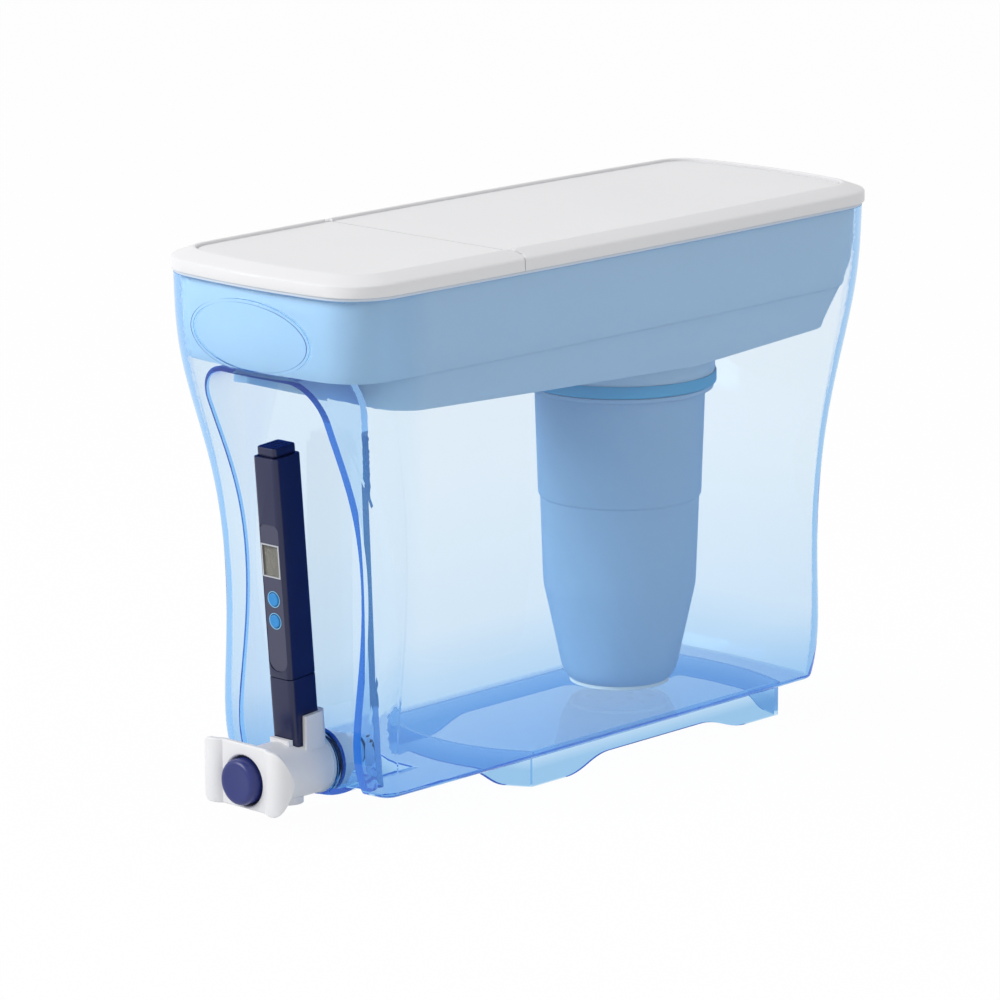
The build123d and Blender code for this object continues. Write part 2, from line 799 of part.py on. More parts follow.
with BuildPart() as finger_plate:
    with BuildSketch(Plane((0, tank_y, tap_z + plate_rise - plate_half_height))):
        with BuildLine():
            Line(ear_point(-1, ear_r, -ear_root), ear_point(1, ear_r, -ear_root))
            Line(ear_point(-1, ear_inner_r, -ear_inner_root), ear_point(1, ear_inner_r, -ear_inner_root))
            for side in (-1, 1):
                ear_arc(side, ear_r, ear_root)
                ear_arc(side, ear_inner_r, ear_inner_root)
                Line(ear_point(side, ear_r, ear_tip), ear_point(side, ear_inner_r, ear_tip))
        make_face()
    extrude(amount=2 * plate_half_height)
    levels = finger_plate.edges().group_by(Axis.Z)
    fillet(levels[0] + levels[-1], plate_edge)
    # seen from the side, each ear narrows to a blunt nose behind its crest
    crest_y = tank_y - ear_forward - ear_r
    brow = plate_half_height + ear_clear
    for side in (-1, 1):
        with BuildSketch(
            Plane((side * ear_at, crest_y, tap_z + plate_rise), x_dir=(0, 1, 0), z_dir=(1, 0, 0))
        ):
            with BuildLine():
                for up in (-1, 1):
                    Bezier(
                        (-ear_lead, up * brow),
                        (ear_shoulder, up * plate_half_height),
                        (ear_run, up * ear_nose),
                        (ear_run, 0),
                    )
                Polyline(
                    (-ear_lead, brow),
                    (-ear_lead, 2 * brow),
                    (2 * ear_run, 2 * brow),
                    (2 * ear_run, -2 * brow),
                    (-ear_lead, -2 * brow),
                    (-ear_lead, -brow),
                )
            make_face()
        extrude(amount=side * 2 * ear_r, mode=Mode.SUBTRACT)
    with BuildSketch(tap_plane(front_face)):
        Circle(barrel_r)
    extrude(amount=plate_t)
    with BuildSketch(tap_plane(front_face - 10)):
        Circle(button_r + button_gap)
    extrude(amount=30, mode=Mode.SUBTRACT)
finger_plate.part.label = "finger_plate"
export_step(finger_plate.part, "parts/finger_plate.step")

cradle_width = tester_width + 2 * (tester_gap + cradle_wall)
cradle_depth = tester_depth + 2 * (tester_gap + cradle_wall)
cradle_corner_r = tester_corner + tester_gap + cradle_wall

with BuildPart() as cradle:
    with BuildSketch(tester_plane.offset(-cradle_root)):
        RectangleRounded(cradle_width, cradle_depth, cradle_corner_r)
    extrude(amount=cradle_root + cradle_back)
    # a low lip closes the front, with an open corner on each side of it
    sides_y = tank_y - sides_front
    with BuildSketch(Plane((0, sides_y - cradle_depth, tester_foot_z + cradle_lip))):
        Rectangle(2 * cradle_width, 2 * cradle_depth)
    extrude(amount=2 * cradle_back, mode=Mode.SUBTRACT)
    for side in (-1, 1):
        corner_x = side * (cradle_lip_half + cradle_width)
        with BuildSketch(Plane((corner_x, sides_y - cradle_depth, tester_foot_z))):
            Rectangle(2 * cradle_width, 2 * cradle_depth)
        extrude(amount=2 * cradle_back, mode=Mode.SUBTRACT)
    # nothing behind the barrel's back face
    with BuildSketch(tap_plane(barrel_back)):
        Rectangle(100, 100)
    extrude(amount=-20, mode=Mode.SUBTRACT)

with BuildPart() as tap_body:
    with BuildSketch(tap_plane(shank_end)):
        Circle(shank_r)
    extrude(amount=barrel_back - shank_end)
    with BuildSketch(tap_plane(barrel_back)):
        Circle(barrel_r)
    extrude(amount=front_face - barrel_back)
    add(cradle.part)
    with BuildSketch(Plane((0, tank_y - spout_at, spout_end_z))):
        Circle(spout_r)
    extrude(amount=tap_z - spout_end_z)
    add(finger_plate.part, mode=Mode.SUBTRACT)
    # pocket for the tester
    with BuildSketch(tester_plane):
        RectangleRounded(
            tester_width + 2 * tester_gap,
            tester_depth + 2 * tester_gap,
            tester_corner + tester_gap,
        )
    extrude(amount=60, mode=Mode.SUBTRACT)
    # pocket for the button, with the stem's bore behind it
    with BuildSketch(tap_plane(pocket_floor)):
        Circle(button_r + button_gap)
    extrude(amount=30, mode=Mode.SUBTRACT)
    with BuildSketch(tap_plane(pocket_floor - partition - 1)):
        Circle(stem_r + stem_gap)
    extrude(amount=partition + 2, mode=Mode.SUBTRACT)
    # waterway from the shank's end to the spout
    with BuildSketch(tap_plane(shank_end - 1)):
        Circle(shank_bore_r)
    extrude(amount=shank_bore_end - shank_end + 1, mode=Mode.SUBTRACT)
    with BuildSketch(tap_plane(shank_end)):
        with Locations((0, -channel_drop)):
            Circle(channel_r)
    extrude(amount=pocket_floor - partition - shank_end, mode=Mode.SUBTRACT)
    with BuildSketch(Plane((0, tank_y - spout_at + 1, spout_end_z - 1))):
        Circle(spout_bore_r)
    extrude(amount=tap_z - channel_drop - spout_end_z, mode=Mode.SUBTRACT)
tap_body.part.label = "tap_body"
export_step(tap_body.part, "parts/tap_body.step")

with BuildPart() as push_button:
    with BuildSketch(tap_plane(button_back)):
        Circle(button_r)
    extrude(amount=button_front - button_back)
    fillet(push_button.edges().sort_by(Axis.Y)[0], button_edge)
    with BuildSketch(tap_plane(button_back)):
        Circle(button_r - button_wall)
    extrude(amount=button_inner - button_back, mode=Mode.SUBTRACT)
    with BuildSketch(tap_plane(button_inner - button_boss_length)):
        Circle(button_boss_r)
        Circle(stem_r, mode=Mode.SUBTRACT)
    extrude(amount=button_boss_length)
push_button.part.label = "push_button"
export_step(push_button.part, "parts/push_button.step")

with BuildPart() as valve_stem:
    with BuildSketch(tap_plane(shank_end - seal_t)):
        Circle(stem_r)
    extrude(amount=button_inner - shank_end + seal_t)
    with BuildSketch(tap_plane(shank_end - seal_t - seal_cap_t)):
        Circle(seal_cap_r)
    extrude(amount=seal_cap_t)
valve_stem.part.label = "valve_stem"
export_step(valve_stem.part, "parts/valve_stem.step")

with BuildPart() as valve_seal:
    with BuildSketch(tap_plane(shank_end - seal_t)):
        Circle(seal_r)
        Circle(stem_r, mode=Mode.SUBTRACT)
    extrude(amount=seal_t)
valve_seal.part.label = "valve_seal"
export_step(valve_seal.part, "parts/valve_seal.step")

with BuildPart() as return_spring:
    coil_height = button_inner - pocket_floor - 2 * spring_wire_r
    with BuildLine() as coil:
        Helix(
            pitch=coil_height / spring_turns,
            height=coil_height,
            radius=spring_r,
            center=(0, tank_y - pocket_floor - spring_wire_r, tap_z),
            direction=(0, -1, 0),
        )
    with BuildSketch(Plane(coil.line @ 0, z_dir=coil.line % 0)):
        RegularPolygon(spring_wire_r, spring_wire_sides)
    sweep(is_frenet=True)
return_spring.part.label = "return_spring"
export_step(return_spring.part, "parts/return_spring.step")

with BuildPart() as tap_washer:
    with BuildSketch(tap_plane(boss_face)):
        Circle(washer_r)
        Circle(shank_r + shank_fit, mode=Mode.SUBTRACT)
    extrude(amount=washer_t)
tap_washer.part.label = "tap_washer"
export_step(tap_washer.part, "parts/tap_washer.step")

inner_face = boss_face - boss_depth
with BuildPart() as inner_gasket:
    with BuildSketch(tap_plane(inner_face - inner_gasket_t)):
        Circle(inner_gasket_r)
        Circle(shank_r + shank_fit, mode=Mode.SUBTRACT)
    extrude(amount=inner_gasket_t)
inner_gasket.part.label = "inner_gasket"
export_step(inner_gasket.part, "parts/inner_gasket.step")

with BuildPart() as tap_nut:
    with BuildSketch(tap_plane(inner_face - inner_gasket_t - nut_t)):
        RegularPolygon(nut_across / 2, 6, major_radius=False)
        Circle(shank_r + shank_fit, mode=Mode.SUBTRACT)
    extrude(amount=nut_t)
tap_nut.part.label = "tap_nut"
export_step(tap_nut.part, "parts/tap_nut.step")

# ---------------------------------------------------------------- pocket tester
head_at = cap_length + body_length
cells_top = head_at - battery_plug
cells_foot = cells_top - cell_count * cell_t
battery_floor = cells_foot - battery_floor_t
board_high = battery_floor - board_end_gap
face_y = -tester_depth / 2
cavity_width = tester_width - 2 * body_wall
cavity_depth = tester_depth - 2 * body_wall
cavity_r = tester_corner - body_wall


def tester_face(depth):
    """Plane parallel to the tester's front, depth behind its face; y runs along the tester."""
    centre = tester_plane.origin + tester_plane.y_dir * (face_y + depth)
    return Plane(centre, x_dir=(1, 0, 0), z_dir=-tester_plane.y_dir)


def along(low, high):
    """Middle of a length along the tester, as a location on one of its faces."""
    return Locations((0, (low + high) / 2))


with BuildPart() as tester_cap:
    with BuildSketch(tester_plane):
        RectangleRounded(tester_width, tester_depth, tester_corner)
    extrude(amount=cap_length)
    with BuildSketch(tester_plane.offset(cap_floor)):
        RectangleRounded(
            tester_width - 2 * cap_wall, tester_depth - 2 * cap_wall, tester_corner - cap_wall
        )
    extrude(amount=cap_length, mode=Mode.SUBTRACT)
tester_cap.part.label = "tester_cap"
export_step(tester_cap.part, "parts/tester_cap.step")

with BuildPart() as tester_body:
    with BuildSketch(tester_plane.offset(cap_length)):
        RectangleRounded(tester_width, tester_depth, tester_corner)
    extrude(amount=body_length)
    with BuildSketch(tester_plane.offset(cap_length - nose_length)):
        RectangleRounded(
            tester_width - 2 * nose_inset, tester_depth - 2 * nose_inset, tester_corner - nose_inset
        )
    extrude(amount=nose_length)
    # cavity for the circuit board, and one for the cells
    with BuildSketch(tester_plane.offset(lower_cavity)):
        RectangleRounded(cavity_width, cavity_depth, cavity_r)
    extrude(amount=battery_floor - lower_cavity, mode=Mode.SUBTRACT)
    with BuildSketch(tester_plane.offset(cells_foot)):
        RectangleRounded(cavity_width, cavity_depth, cavity_r)
    extrude(amount=head_at - cells_foot, mode=Mode.SUBTRACT)
    with BuildSketch(tester_plane.offset(battery_floor - 1)):
        Circle(contact_r)
    extrude(amount=battery_floor_t + 2, mode=Mode.SUBTRACT)
    # sunken panel, with openings for the window and the two buttons
    with BuildSketch(tester_face(panel_sunk + label_t)):
        with along(panel_low, panel_high):
            RectangleRounded(panel_width, panel_high - panel_low, 2)
    extrude(amount=panel_sunk + label_t, mode=Mode.SUBTRACT)
    with BuildSketch(tester_face(body_wall + 1)):
        with along(window_low, window_high):
            Rectangle(window_width, window_high - window_low)
        with Locations((0, upper_button), (0, lower_button)):
            Circle(tester_button_r + tester_button_gap)
    extrude(amount=body_wall + 2, mode=Mode.SUBTRACT)
    # bores for the probe pins
    with BuildSketch(tester_plane.offset(cap_length - nose_length)):
        with Locations((-probe_spread / 2, 0), (probe_spread / 2, 0)):
            Circle(probe_r)
    extrude(amount=probe_in, mode=Mode.SUBTRACT)
tester_body.part.label = "tester_body"
export_step(tester_body.part, "parts/tester_body.step")

with BuildPart() as battery_cover:
    with BuildSketch(tester_plane.offset(head_at)):
        RectangleRounded(
            tester_width - 2 * head_inset, tester_depth - 2 * head_inset, tester_corner - 0.6
        )
    extrude(amount=head_length)
    with BuildSketch(tester_plane.offset(head_at + head_length - groove_depth)):
        with GridLocations(0, 2 * groove_width, 1, head_grooves):
            Rectangle(tester_width, groove_width)
    extrude(amount=groove_depth, mode=Mode.SUBTRACT)
    # plug that presses on the cells
    with BuildSketch(tester_plane.offset(cells_top)):
        Circle(cell_r)
    extrude(amount=battery_plug)
battery_cover.part.label = "battery_cover"
export_step(battery_cover.part, "parts/battery_cover.step")

with BuildPart() as button_cells:
    for place in range(cell_count):
        with BuildSketch(tester_plane.offset(cells_foot + place * cell_t)):
            Circle(cell_r)
        extrude(amount=cell_t - cell_rise)
        with BuildSketch(tester_plane.offset(cells_foot + place * cell_t)):
            Circle(cell_r - cell_shoulder)
        extrude(amount=cell_t)
button_cells.part.label = "button_cells"
export_step(button_cells.part, "parts/button_cells.step")

with BuildPart() as label_plate:
    with BuildSketch(tester_face(panel_sunk + label_t)):
        with along(panel_low, panel_high):
            RectangleRounded(panel_width, panel_high - panel_low, 2)
        with along(window_low, window_high):
            Rectangle(window_width, window_high - window_low, mode=Mode.SUBTRACT)
        with Locations((0, upper_button), (0, lower_button)):
            Circle(tester_button_r + tester_button_gap, mode=Mode.SUBTRACT)
    extrude(amount=label_t)
label_plate.part.label = "label_plate"
export_step(label_plate.part, "parts/label_plate.step")

with BuildPart() as display_window:
    with BuildSketch(tester_face(body_wall)):
        with along(window_low, window_high):
            Rectangle(window_width, window_high - window_low)
    extrude(amount=window_t)
display_window.part.label = "display_window"
export_step(display_window.part, "parts/display_window.step")

with BuildPart() as display_module:
    with BuildSketch(tester_face(body_wall + module_t)):
        with along(window_low, window_high):
            Rectangle(window_width, window_high - window_low)
    extrude(amount=module_t)
display_module.part.label = "display_module"
export_step(display_module.part, "parts/display_module.step")

board_depth = body_wall + module_t + board_t
with BuildPart() as circuit_board:
    with BuildSketch(tester_face(board_depth)):
        with along(board_low, board_high):
            Rectangle(cavity_width, board_high - board_low)
    extrude(amount=board_t)
circuit_board.part.label = "circuit_board"
export_step(circuit_board.part, "parts/circuit_board.step")

with BuildPart() as upper_key:
    with BuildSketch(tester_face(body_wall)):
        with Locations((0, upper_button)):
            Circle(tester_button_r)
    extrude(amount=body_wall - panel_sunk + tester_button_out)
    with BuildSketch(tester_face(body_wall + lip_t)):
        with Locations((0, upper_button)):
            Circle(tester_button_r + tester_button_lip)
    extrude(amount=lip_t)
upper_key.part.label = "upper_key"
export_step(upper_key.part, "parts/upper_key.step")

with BuildPart() as lower_key:
    with BuildSketch(tester_face(body_wall)):
        with Locations((0, lower_button)):
            Circle(tester_button_r)
    extrude(amount=body_wall - panel_sunk + tester_button_out)
    with BuildSketch(tester_face(body_wall + lip_t)):
        with Locations((0, lower_button)):
            Circle(tester_button_r + tester_button_lip)
    extrude(amount=lip_t)
lower_key.part.label = "lower_key"
export_step(lower_key.part, "parts/lower_key.step")

with BuildPart() as probe_pins:
    with BuildSketch(tester_plane.offset(cap_length - nose_length - probe_out)):
        with Locations((-probe_spread / 2, 0), (probe_spread / 2, 0)):
            Circle(probe_r)
    extrude(amount=probe_out + probe_in)
probe_pins.part.label = "probe_pins"
export_step(probe_pins.part, "parts/probe_pins.step")
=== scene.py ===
"""Gravity water filter with tap: the looks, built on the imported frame. Metres, +Z up."""

from math import cos, pi, radians, sin

import bmesh
import bpy
from mathutils import Matrix, Vector


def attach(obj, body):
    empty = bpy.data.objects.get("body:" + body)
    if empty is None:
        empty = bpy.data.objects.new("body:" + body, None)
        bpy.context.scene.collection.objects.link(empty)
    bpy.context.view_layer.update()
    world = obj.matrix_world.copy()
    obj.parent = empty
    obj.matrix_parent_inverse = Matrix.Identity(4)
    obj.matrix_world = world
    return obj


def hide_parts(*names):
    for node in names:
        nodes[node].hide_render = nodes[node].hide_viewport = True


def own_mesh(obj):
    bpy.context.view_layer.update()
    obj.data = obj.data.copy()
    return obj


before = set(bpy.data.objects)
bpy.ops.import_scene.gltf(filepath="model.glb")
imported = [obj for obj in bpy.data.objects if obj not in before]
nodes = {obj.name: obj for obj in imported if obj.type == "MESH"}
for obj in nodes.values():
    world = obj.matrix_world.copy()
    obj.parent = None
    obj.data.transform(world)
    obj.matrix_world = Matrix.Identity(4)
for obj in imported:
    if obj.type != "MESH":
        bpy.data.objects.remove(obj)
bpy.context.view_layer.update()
MM = 0.001

# the object's own places and sizes, in millimetres
TANK_Y = 5.2  # the tank's middle
FLOOR_Z, RIM_Z = 15.3, 252.4  # underside of the tank's floor, and its top
FLARE_LOW_Z, FLARE_HIGH_Z = 100.0, 232.0  # the end walls flare between these
TANK_WALL = 2.6
RESERVOIR_WALL = 2.2
RESERVOIR_GAP = 0.5  # from the tank's wall
FILTER_Y = TANK_Y + 63.0  # the cartridge's axis
HINGE_Y, HINGE_Z = TANK_Y - 76.2, 261.0  # the flap's axis
FINGER_X = 59.3  # the hinge's fingers, either side
TAP_Z = 23.2  # the tap's axis
PLATE_Z, PLATE_HALF = TAP_Z + 2.2, 15.4  # the finger plate's middle and half height
EAR_X, EAR_FORWARD, EAR_R = 19.9, 186.04, 8.5  # the axis and radius of each rolled end
UP, ACROSS = Vector((0, 0, 1)), Vector((1, 0, 0))
FORWARD, BACK = Vector((0, -1, 0)), Vector((0, 1, 0))
TAP_AXIS = Vector((0, TANK_Y, TAP_Z))
LEAN = radians(4.5)  # the tester leans towards the tap's end
INWARD = Vector((0, cos(LEAN), sin(LEAN)))
ALONG = Vector((0, -sin(LEAN), cos(LEAN)))
TESTER_FOOT = Vector((0, TANK_Y - 157.1, 30.6))
HALF_WIDE, HALF_DEEP = 7.5, 8.7  # the tester's section
CAP_END, BODY_AT, HEAD_AT, HEAD_END = 37.4, 37.6, 143.3, 147.9  # along it from its foot
KEYS_AT = (75.7, 65.2)  # the upper and the lower key, along it from its foot
KEY_HOLE_R = 3.5
GRIPS = 10  # notches down its left edge


# ------------------------------------------------------------------ camera
def aim_camera():
    """A long lens, a little above the lid, looking at the tap corner."""
    azimuth, elevation, roll = radians(43.58), radians(12.91), radians(-0.21)
    focus = Vector((0, TANK_Y, 140)) * MM
    distance, lens_px = 2607.64 * MM, 5434.35
    back = Vector((sin(azimuth) * cos(elevation), -cos(azimuth) * cos(elevation), sin(elevation)))
    right = Vector((cos(azimuth), sin(azimuth), 0))
    up = back.cross(right)
    turned_right = right * cos(roll) + up * sin(roll)
    turned_up = up * cos(roll) - right * sin(roll)
    place = focus + back * distance + turned_right * -14.09 * MM + turned_up * -16.23 * MM
    lens = bpy.data.cameras.new("view")
    lens.sensor_width = 36
    lens.lens = lens_px * 36 / 1000
    lens.clip_end = 20
    camera = bpy.data.objects.new("view", lens)
    bpy.context.scene.collection.objects.link(camera)
    turn = Matrix((turned_right, turned_up, back)).transposed().to_4x4()
    camera.matrix_world = Matrix.Translation(place) @ turn
    bpy.context.scene.camera = camera


aim_camera()


# ------------------------------------------------------------------ materials
def linear(code):
    """A six-digit sRGB colour as linear red, green, blue and 1."""
    out = []
    for i in (0, 2, 4):
        v = int(code[i : i + 2], 16) / 255
        out.append(v / 12.92 if v <= 0.04045 else ((v + 0.055) / 1.055) ** 2.4)
    return (*out, 1.0)


def node(material, kind, settings=None, **inputs):
    """Adds a node; each input is a value or another node's output socket."""
    made = material.node_tree.nodes.new(kind)
    for name, value in (settings or {}).items():
        setattr(made, name, value)
    for name, value in inputs.items():
        socket = made.inputs[int(name[1:])] if name[0] == "_" else made.inputs[name.replace("_", " ")]
        if isinstance(value, bpy.types.NodeSocket):
            material.node_tree.links.new(value, socket)
        else:
            socket.default_value = value
    return made


def seen_directly(material):
    """1 where the camera sees it straight, mirrored or through something clear."""
    ray = node(material, "ShaderNodeLightPath").outputs
    highest = {"operation": "MAXIMUM"}
    straight, cleared = ray["Is Camera Ray"], ray["Is Transmission Ray"]
    either = node(material, "ShaderNodeMath", highest, _0=straight, _1=cleared)
    seen = node(material, "ShaderNodeMath", highest, _0=either.outputs[0], _1=ray["Is Glossy Ray"])
    return seen.outputs[0]


def blank(name):
    """A material with no nodes yet."""
    material = bpy.data.materials.new(name)
    material.use_nodes = True
    material.node_tree.nodes.clear()
    return material


def finish(material, shader, volume=None):
    """Joins the shader, and what fills the piece, to the material's output."""
    out = node(material, "ShaderNodeOutputMaterial")
    material.node_tree.links.new(shader.outputs[0], out.inputs["Surface"])
    if volume:
        material.node_tree.links.new(volume.outputs[0], out.inputs["Volume"])
    return material


def moulded(name, colour, roughness, grain_mm, depth, mottle, milky=0.0):
    """Moulded plastic or rubber: a fine spark-eroded grain in the gloss, and slight cloudiness."""
    material = blank(name)
    place = node(material, "ShaderNodeTexCoord").outputs["Object"]
    grain = node(material, "ShaderNodeTexNoise", Vector=place, Scale=1000 / grain_mm, Detail=3.0)
    cloud = node(material, "ShaderNodeTexNoise", Vector=place, Scale=18.0, Detail=2.0)
    bump = node(
        material, "ShaderNodeBump", Strength=depth, Distance=0.1 * MM, Height=grain.outputs["Fac"]
    )
    rough = node(
        material,
        "ShaderNodeMapRange",
        Value=cloud.outputs["Fac"],
        From_Min=0.3,
        From_Max=0.7,
        To_Min=roughness * 0.88,
        To_Max=min(roughness * 1.12, 1.0),
    )
    shade = node(
        material,
        "ShaderNodeMix",
        {"data_type": "RGBA"},
        _0=cloud.outputs["Fac"],
        _6=tuple(c * (1 - mottle) for c in linear(colour)[:3]) + (1.0,),
        _7=linear(colour),
    )
    shader = node(
        material,
        "ShaderNodeBsdfPrincipled",
        Base_Color=shade.outputs[2],
        Roughness=rough.outputs[0],
        IOR=1.5,
        Normal=bump.outputs[0],
        Subsurface_Weight=milky,
        Subsurface_Radius=(1.0, 1.0, 1.0),
        Subsurface_Scale=2 * MM,
    )
    return finish(material, shader)


def clear_tank():
    """SAN copolymer, moulded clear and tinted: nearly colourless across a wall, blue along it."""
    material = blank("san_clear_moulded")
    place = node(material, "ShaderNodeTexCoord").outputs["Object"]
    ray = node(material, "ShaderNodeLightPath").outputs
    wave = node(material, "ShaderNodeTexNoise", Vector=place, Scale=14.0, Detail=1.0)
    # where a tight corner's smoothing strays from the surface, the surface's own direction counts
    surface = node(material, "ShaderNodeNewGeometry").outputs
    smooth, plain = surface["Normal"], surface["True Normal"]
    agreement = node(
        material, "ShaderNodeVectorMath", {"operation": "DOT_PRODUCT"}, _0=smooth, _1=plain
    )
    strays = node(
        material,
        "ShaderNodeMath",
        {"operation": "LESS_THAN"},
        _0=agreement.outputs["Value"],
        _1=0.96,
    )
    away = node(material, "ShaderNodeVectorMath", {"operation": "SUBTRACT"}, _0=plain, _1=smooth)
    facing = node(
        material,
        "ShaderNodeVectorMath",
        {"operation": "MULTIPLY_ADD"},
        _0=away.outputs["Vector"],
        _1=strays.outputs[0],
        _2=smooth,
    )
    bump = node(
        material,
        "ShaderNodeBump",
        Strength=0.08,
        Distance=0.4 * MM,
        Height=wave.outputs["Fac"],
        Normal=facing.outputs["Vector"],
    )
    # painted light: the wall is tinted bluer towards the foot, standing in for the floor's light seen
    # refracted up through it
    spot = node(material, "ShaderNodeSeparateXYZ", Vector=place).outputs
    foot_painted_light_tint = node(material, "ShaderNodeValToRGB", Fac=spot["Z"])
    ramp = foot_painted_light_tint.color_ramp
    ramp.elements[0].position, ramp.elements[0].color = 0.008, linear("98C6EA")
    ramp.elements[1].position, ramp.elements[1].color = 0.25, linear("FDFEFF")
    for level, colour in ((0.016, "CDE6FA"), (0.05, "F0F8FE"), (0.13, "F9FDFF")):
        ramp.elements.new(level).color = linear(colour)
    # and bluer again beside the alcove, where the front turns in
    beside = node(
        material, "ShaderNodeMapRange", Value=spot["Y"], From_Min=-0.128, From_Max=-0.142
    )
    flank_tint = node(
        material,
        "ShaderNodeMix",
        {"data_type": "RGBA", "blend_type": "MULTIPLY"},
        _0=beside.outputs[0],
        _6=foot_painted_light_tint.outputs["Color"],
        _7=linear("F7FBFE"),
    )
    clear = node(
        material,
        "ShaderNodeBsdfPrincipled",
        Base_Color=flank_tint.outputs[2],
        Roughness=0.02,
        IOR=1.45,
        Transmission_Weight=1.0,
        Normal=bump.outputs[0],
    )
    shade = node(material, "ShaderNodeBsdfTransparent", Color=foot_painted_light_tint.outputs["Color"])
    wall = node(
        material,
        "ShaderNodeMixShader",
        _0=ray["Is Shadow Ray"],
        _1=clear.outputs[0],
        _2=shade.outputs[0],
    )
    # light that bounces inside a thick edge scatters a little and comes out deep blue
    edge_clear = node(material, "ShaderNodeBsdfTransparent", Color=linear("BFE0F9"))
    edge_haze = node(material, "ShaderNodeBsdfTranslucent", Color=linear("5FA9EA"))
    edge_light = node(
        material,
        "ShaderNodeMixShader",
        _0=0.42,
        _1=edge_clear.outputs[0],
        _2=edge_haze.outputs[0],
    )
    above = {"operation": "GREATER_THAN"}
    reflected = node(material, "ShaderNodeMath", above, _0=ray["Glossy Depth"], _1=0.5)
    deep = node(material, "ShaderNodeMath", above, _0=ray["Ray Depth"], _1=7.5)
    trapped = node(
        material,
        "ShaderNodeMath",
        {"operation": "MAXIMUM"},
        _0=reflected.outputs[0],
        _1=deep.outputs[0],
    )
    wall_and_edge = node(
        material,
        "ShaderNodeMixShader",
        _0=trapped.outputs[0],
        _1=wall.outputs[0],
        _2=edge_light.outputs[0],
    )
    tint = node(material, "ShaderNodeVolumeAbsorption", Color=linear("93DDF9"), Density=26.0)
    return finish(material, wall_and_edge, tint)


WHITE_PP = moulded("polypropylene_white_fine_etch", "E7E7E9", 0.42, 0.5, 0.25, 0.02)
TRANSLUCENT_BLUE = moulded("polypropylene_blue_milky", "AECADC", 0.38, 0.6, 0.15, 0.04, milky=0.15)
CUP_BLUE = moulded("polypropylene_blue_cup", "95B7D2", 0.4, 0.6, 0.15, 0.04, milky=0.15)
TEAL_SILICONE = moulded("silicone_turquoise_moulded", "3CA2CA", 0.45, 0.4, 0.1, 0.05)
NAVY_ABS = moulded("abs_navy_satin", "161D46", 0.3, 0.4, 0.2, 0.08)
BUTTON_ABS = moulded("abs_navy_button", "202C72", 0.3, 0.5, 0.1, 0.05)
KEY_BLUE = moulded("silicone_key_blue", "1E88D0", 0.4, 0.4, 0.1, 0.05)
LABEL_FILM = moulded("polyester_film_mauve", "3C3E58", 0.35, 0.6, 0.05, 0.05)
# painted highlight: the flange is the reservoir's blue plastic, coloured paler to stand in for light
# falling on its top edge
FLANGE_PAINTED_LIT = moulded("polypropylene_blue_painted_lit_edge", "CBD6E2", 0.4, 0.6, 0.1, 0.03)
FRAME_GREY = moulded("abs_pale_grey_frame", "B9BCC4", 0.4, 0.5, 0.1, 0.03)
RING_BLUE = moulded("ink_pale_blue_printed", "7FBCE4", 0.5, 0.5, 0.05, 0.03)
DISPLAY_GREY = moulded("liquid_crystal_grey", "8A8780", 0.3, 0.8, 0.02, 0.03)
GREY_SILICONE = moulded("silicone_blue_grey", "C9DBEC", 0.5, 0.4, 0.1, 0.05)
BLACK_RUBBER = moulded("nitrile_rubber_black", "1B1B1C", 0.55, 0.5, 0.3, 0.1)
FOAM = moulded("polyurethane_foam_open", "E9E8E0", 0.9, 0.7, 1.0, 0.15)
CARBON = moulded("activated_carbon_granules", "17181A", 0.75, 1.2, 1.0, 0.4)
RESIN = moulded("ion_exchange_resin_beads", "B8863C", 0.35, 0.7, 1.0, 0.3)
BOARD = moulded("glass_epoxy_green_mask", "1F5A38", 0.35, 0.6, 0.1, 0.1)


def bright_metal(name, colour, roughness):
    """Drawn or plated metal with faint marks."""
    material = blank(name)
    place = node(material, "ShaderNodeTexCoord").outputs["Object"]
    marks = node(material, "ShaderNodeTexNoise", Vector=place, Scale=1400.0, Detail=2.0)
    rough = node(
        material,
        "ShaderNodeMapRange",
        Value=marks.outputs["Fac"],
        To_Min=roughness * 0.7,
        To_Max=roughness * 1.3,
    )
    shader = node(
        material,
        "ShaderNodeBsdfPrincipled",
        Base_Color=linear(colour),
        Metallic=1.0,
        Roughness=rough.outputs[0],
    )
    return finish(material, shader)


STEEL = bright_metal("stainless_steel_drawn", "C8C8CA", 0.25)
NICKEL = bright_metal("nickel_plate_bright", "CFCFCB", 0.2)


def clear_window():
    """Acrylic, polished."""
    material = blank("acrylic_polished")
    place = node(material, "ShaderNodeTexCoord").outputs["Object"]
    haze = node(material, "ShaderNodeTexNoise", Vector=place, Scale=300.0)
    rough = node(
        material, "ShaderNodeMapRange", Value=haze.outputs["Fac"], To_Min=0.02, To_Max=0.06
    )
    clear = node(
        material,
        "ShaderNodeBsdfPrincipled",
        Base_Color=linear("F2F6F4"),
        Roughness=rough.outputs[0],
        IOR=1.49,
        Transmission_Weight=1.0,
    )
    through = node(material, "ShaderNodeBsdfTransparent")
    ray = node(material, "ShaderNodeLightPath").outputs
    pane = node(
        material,
        "ShaderNodeMixShader",
        _0=ray["Is Shadow Ray"],
        _1=clear.outputs[0],
        _2=through.outputs[0],
    )
    return finish(material, pane)


WINDOW = clear_window()
TANK_CLEAR = clear_tank()

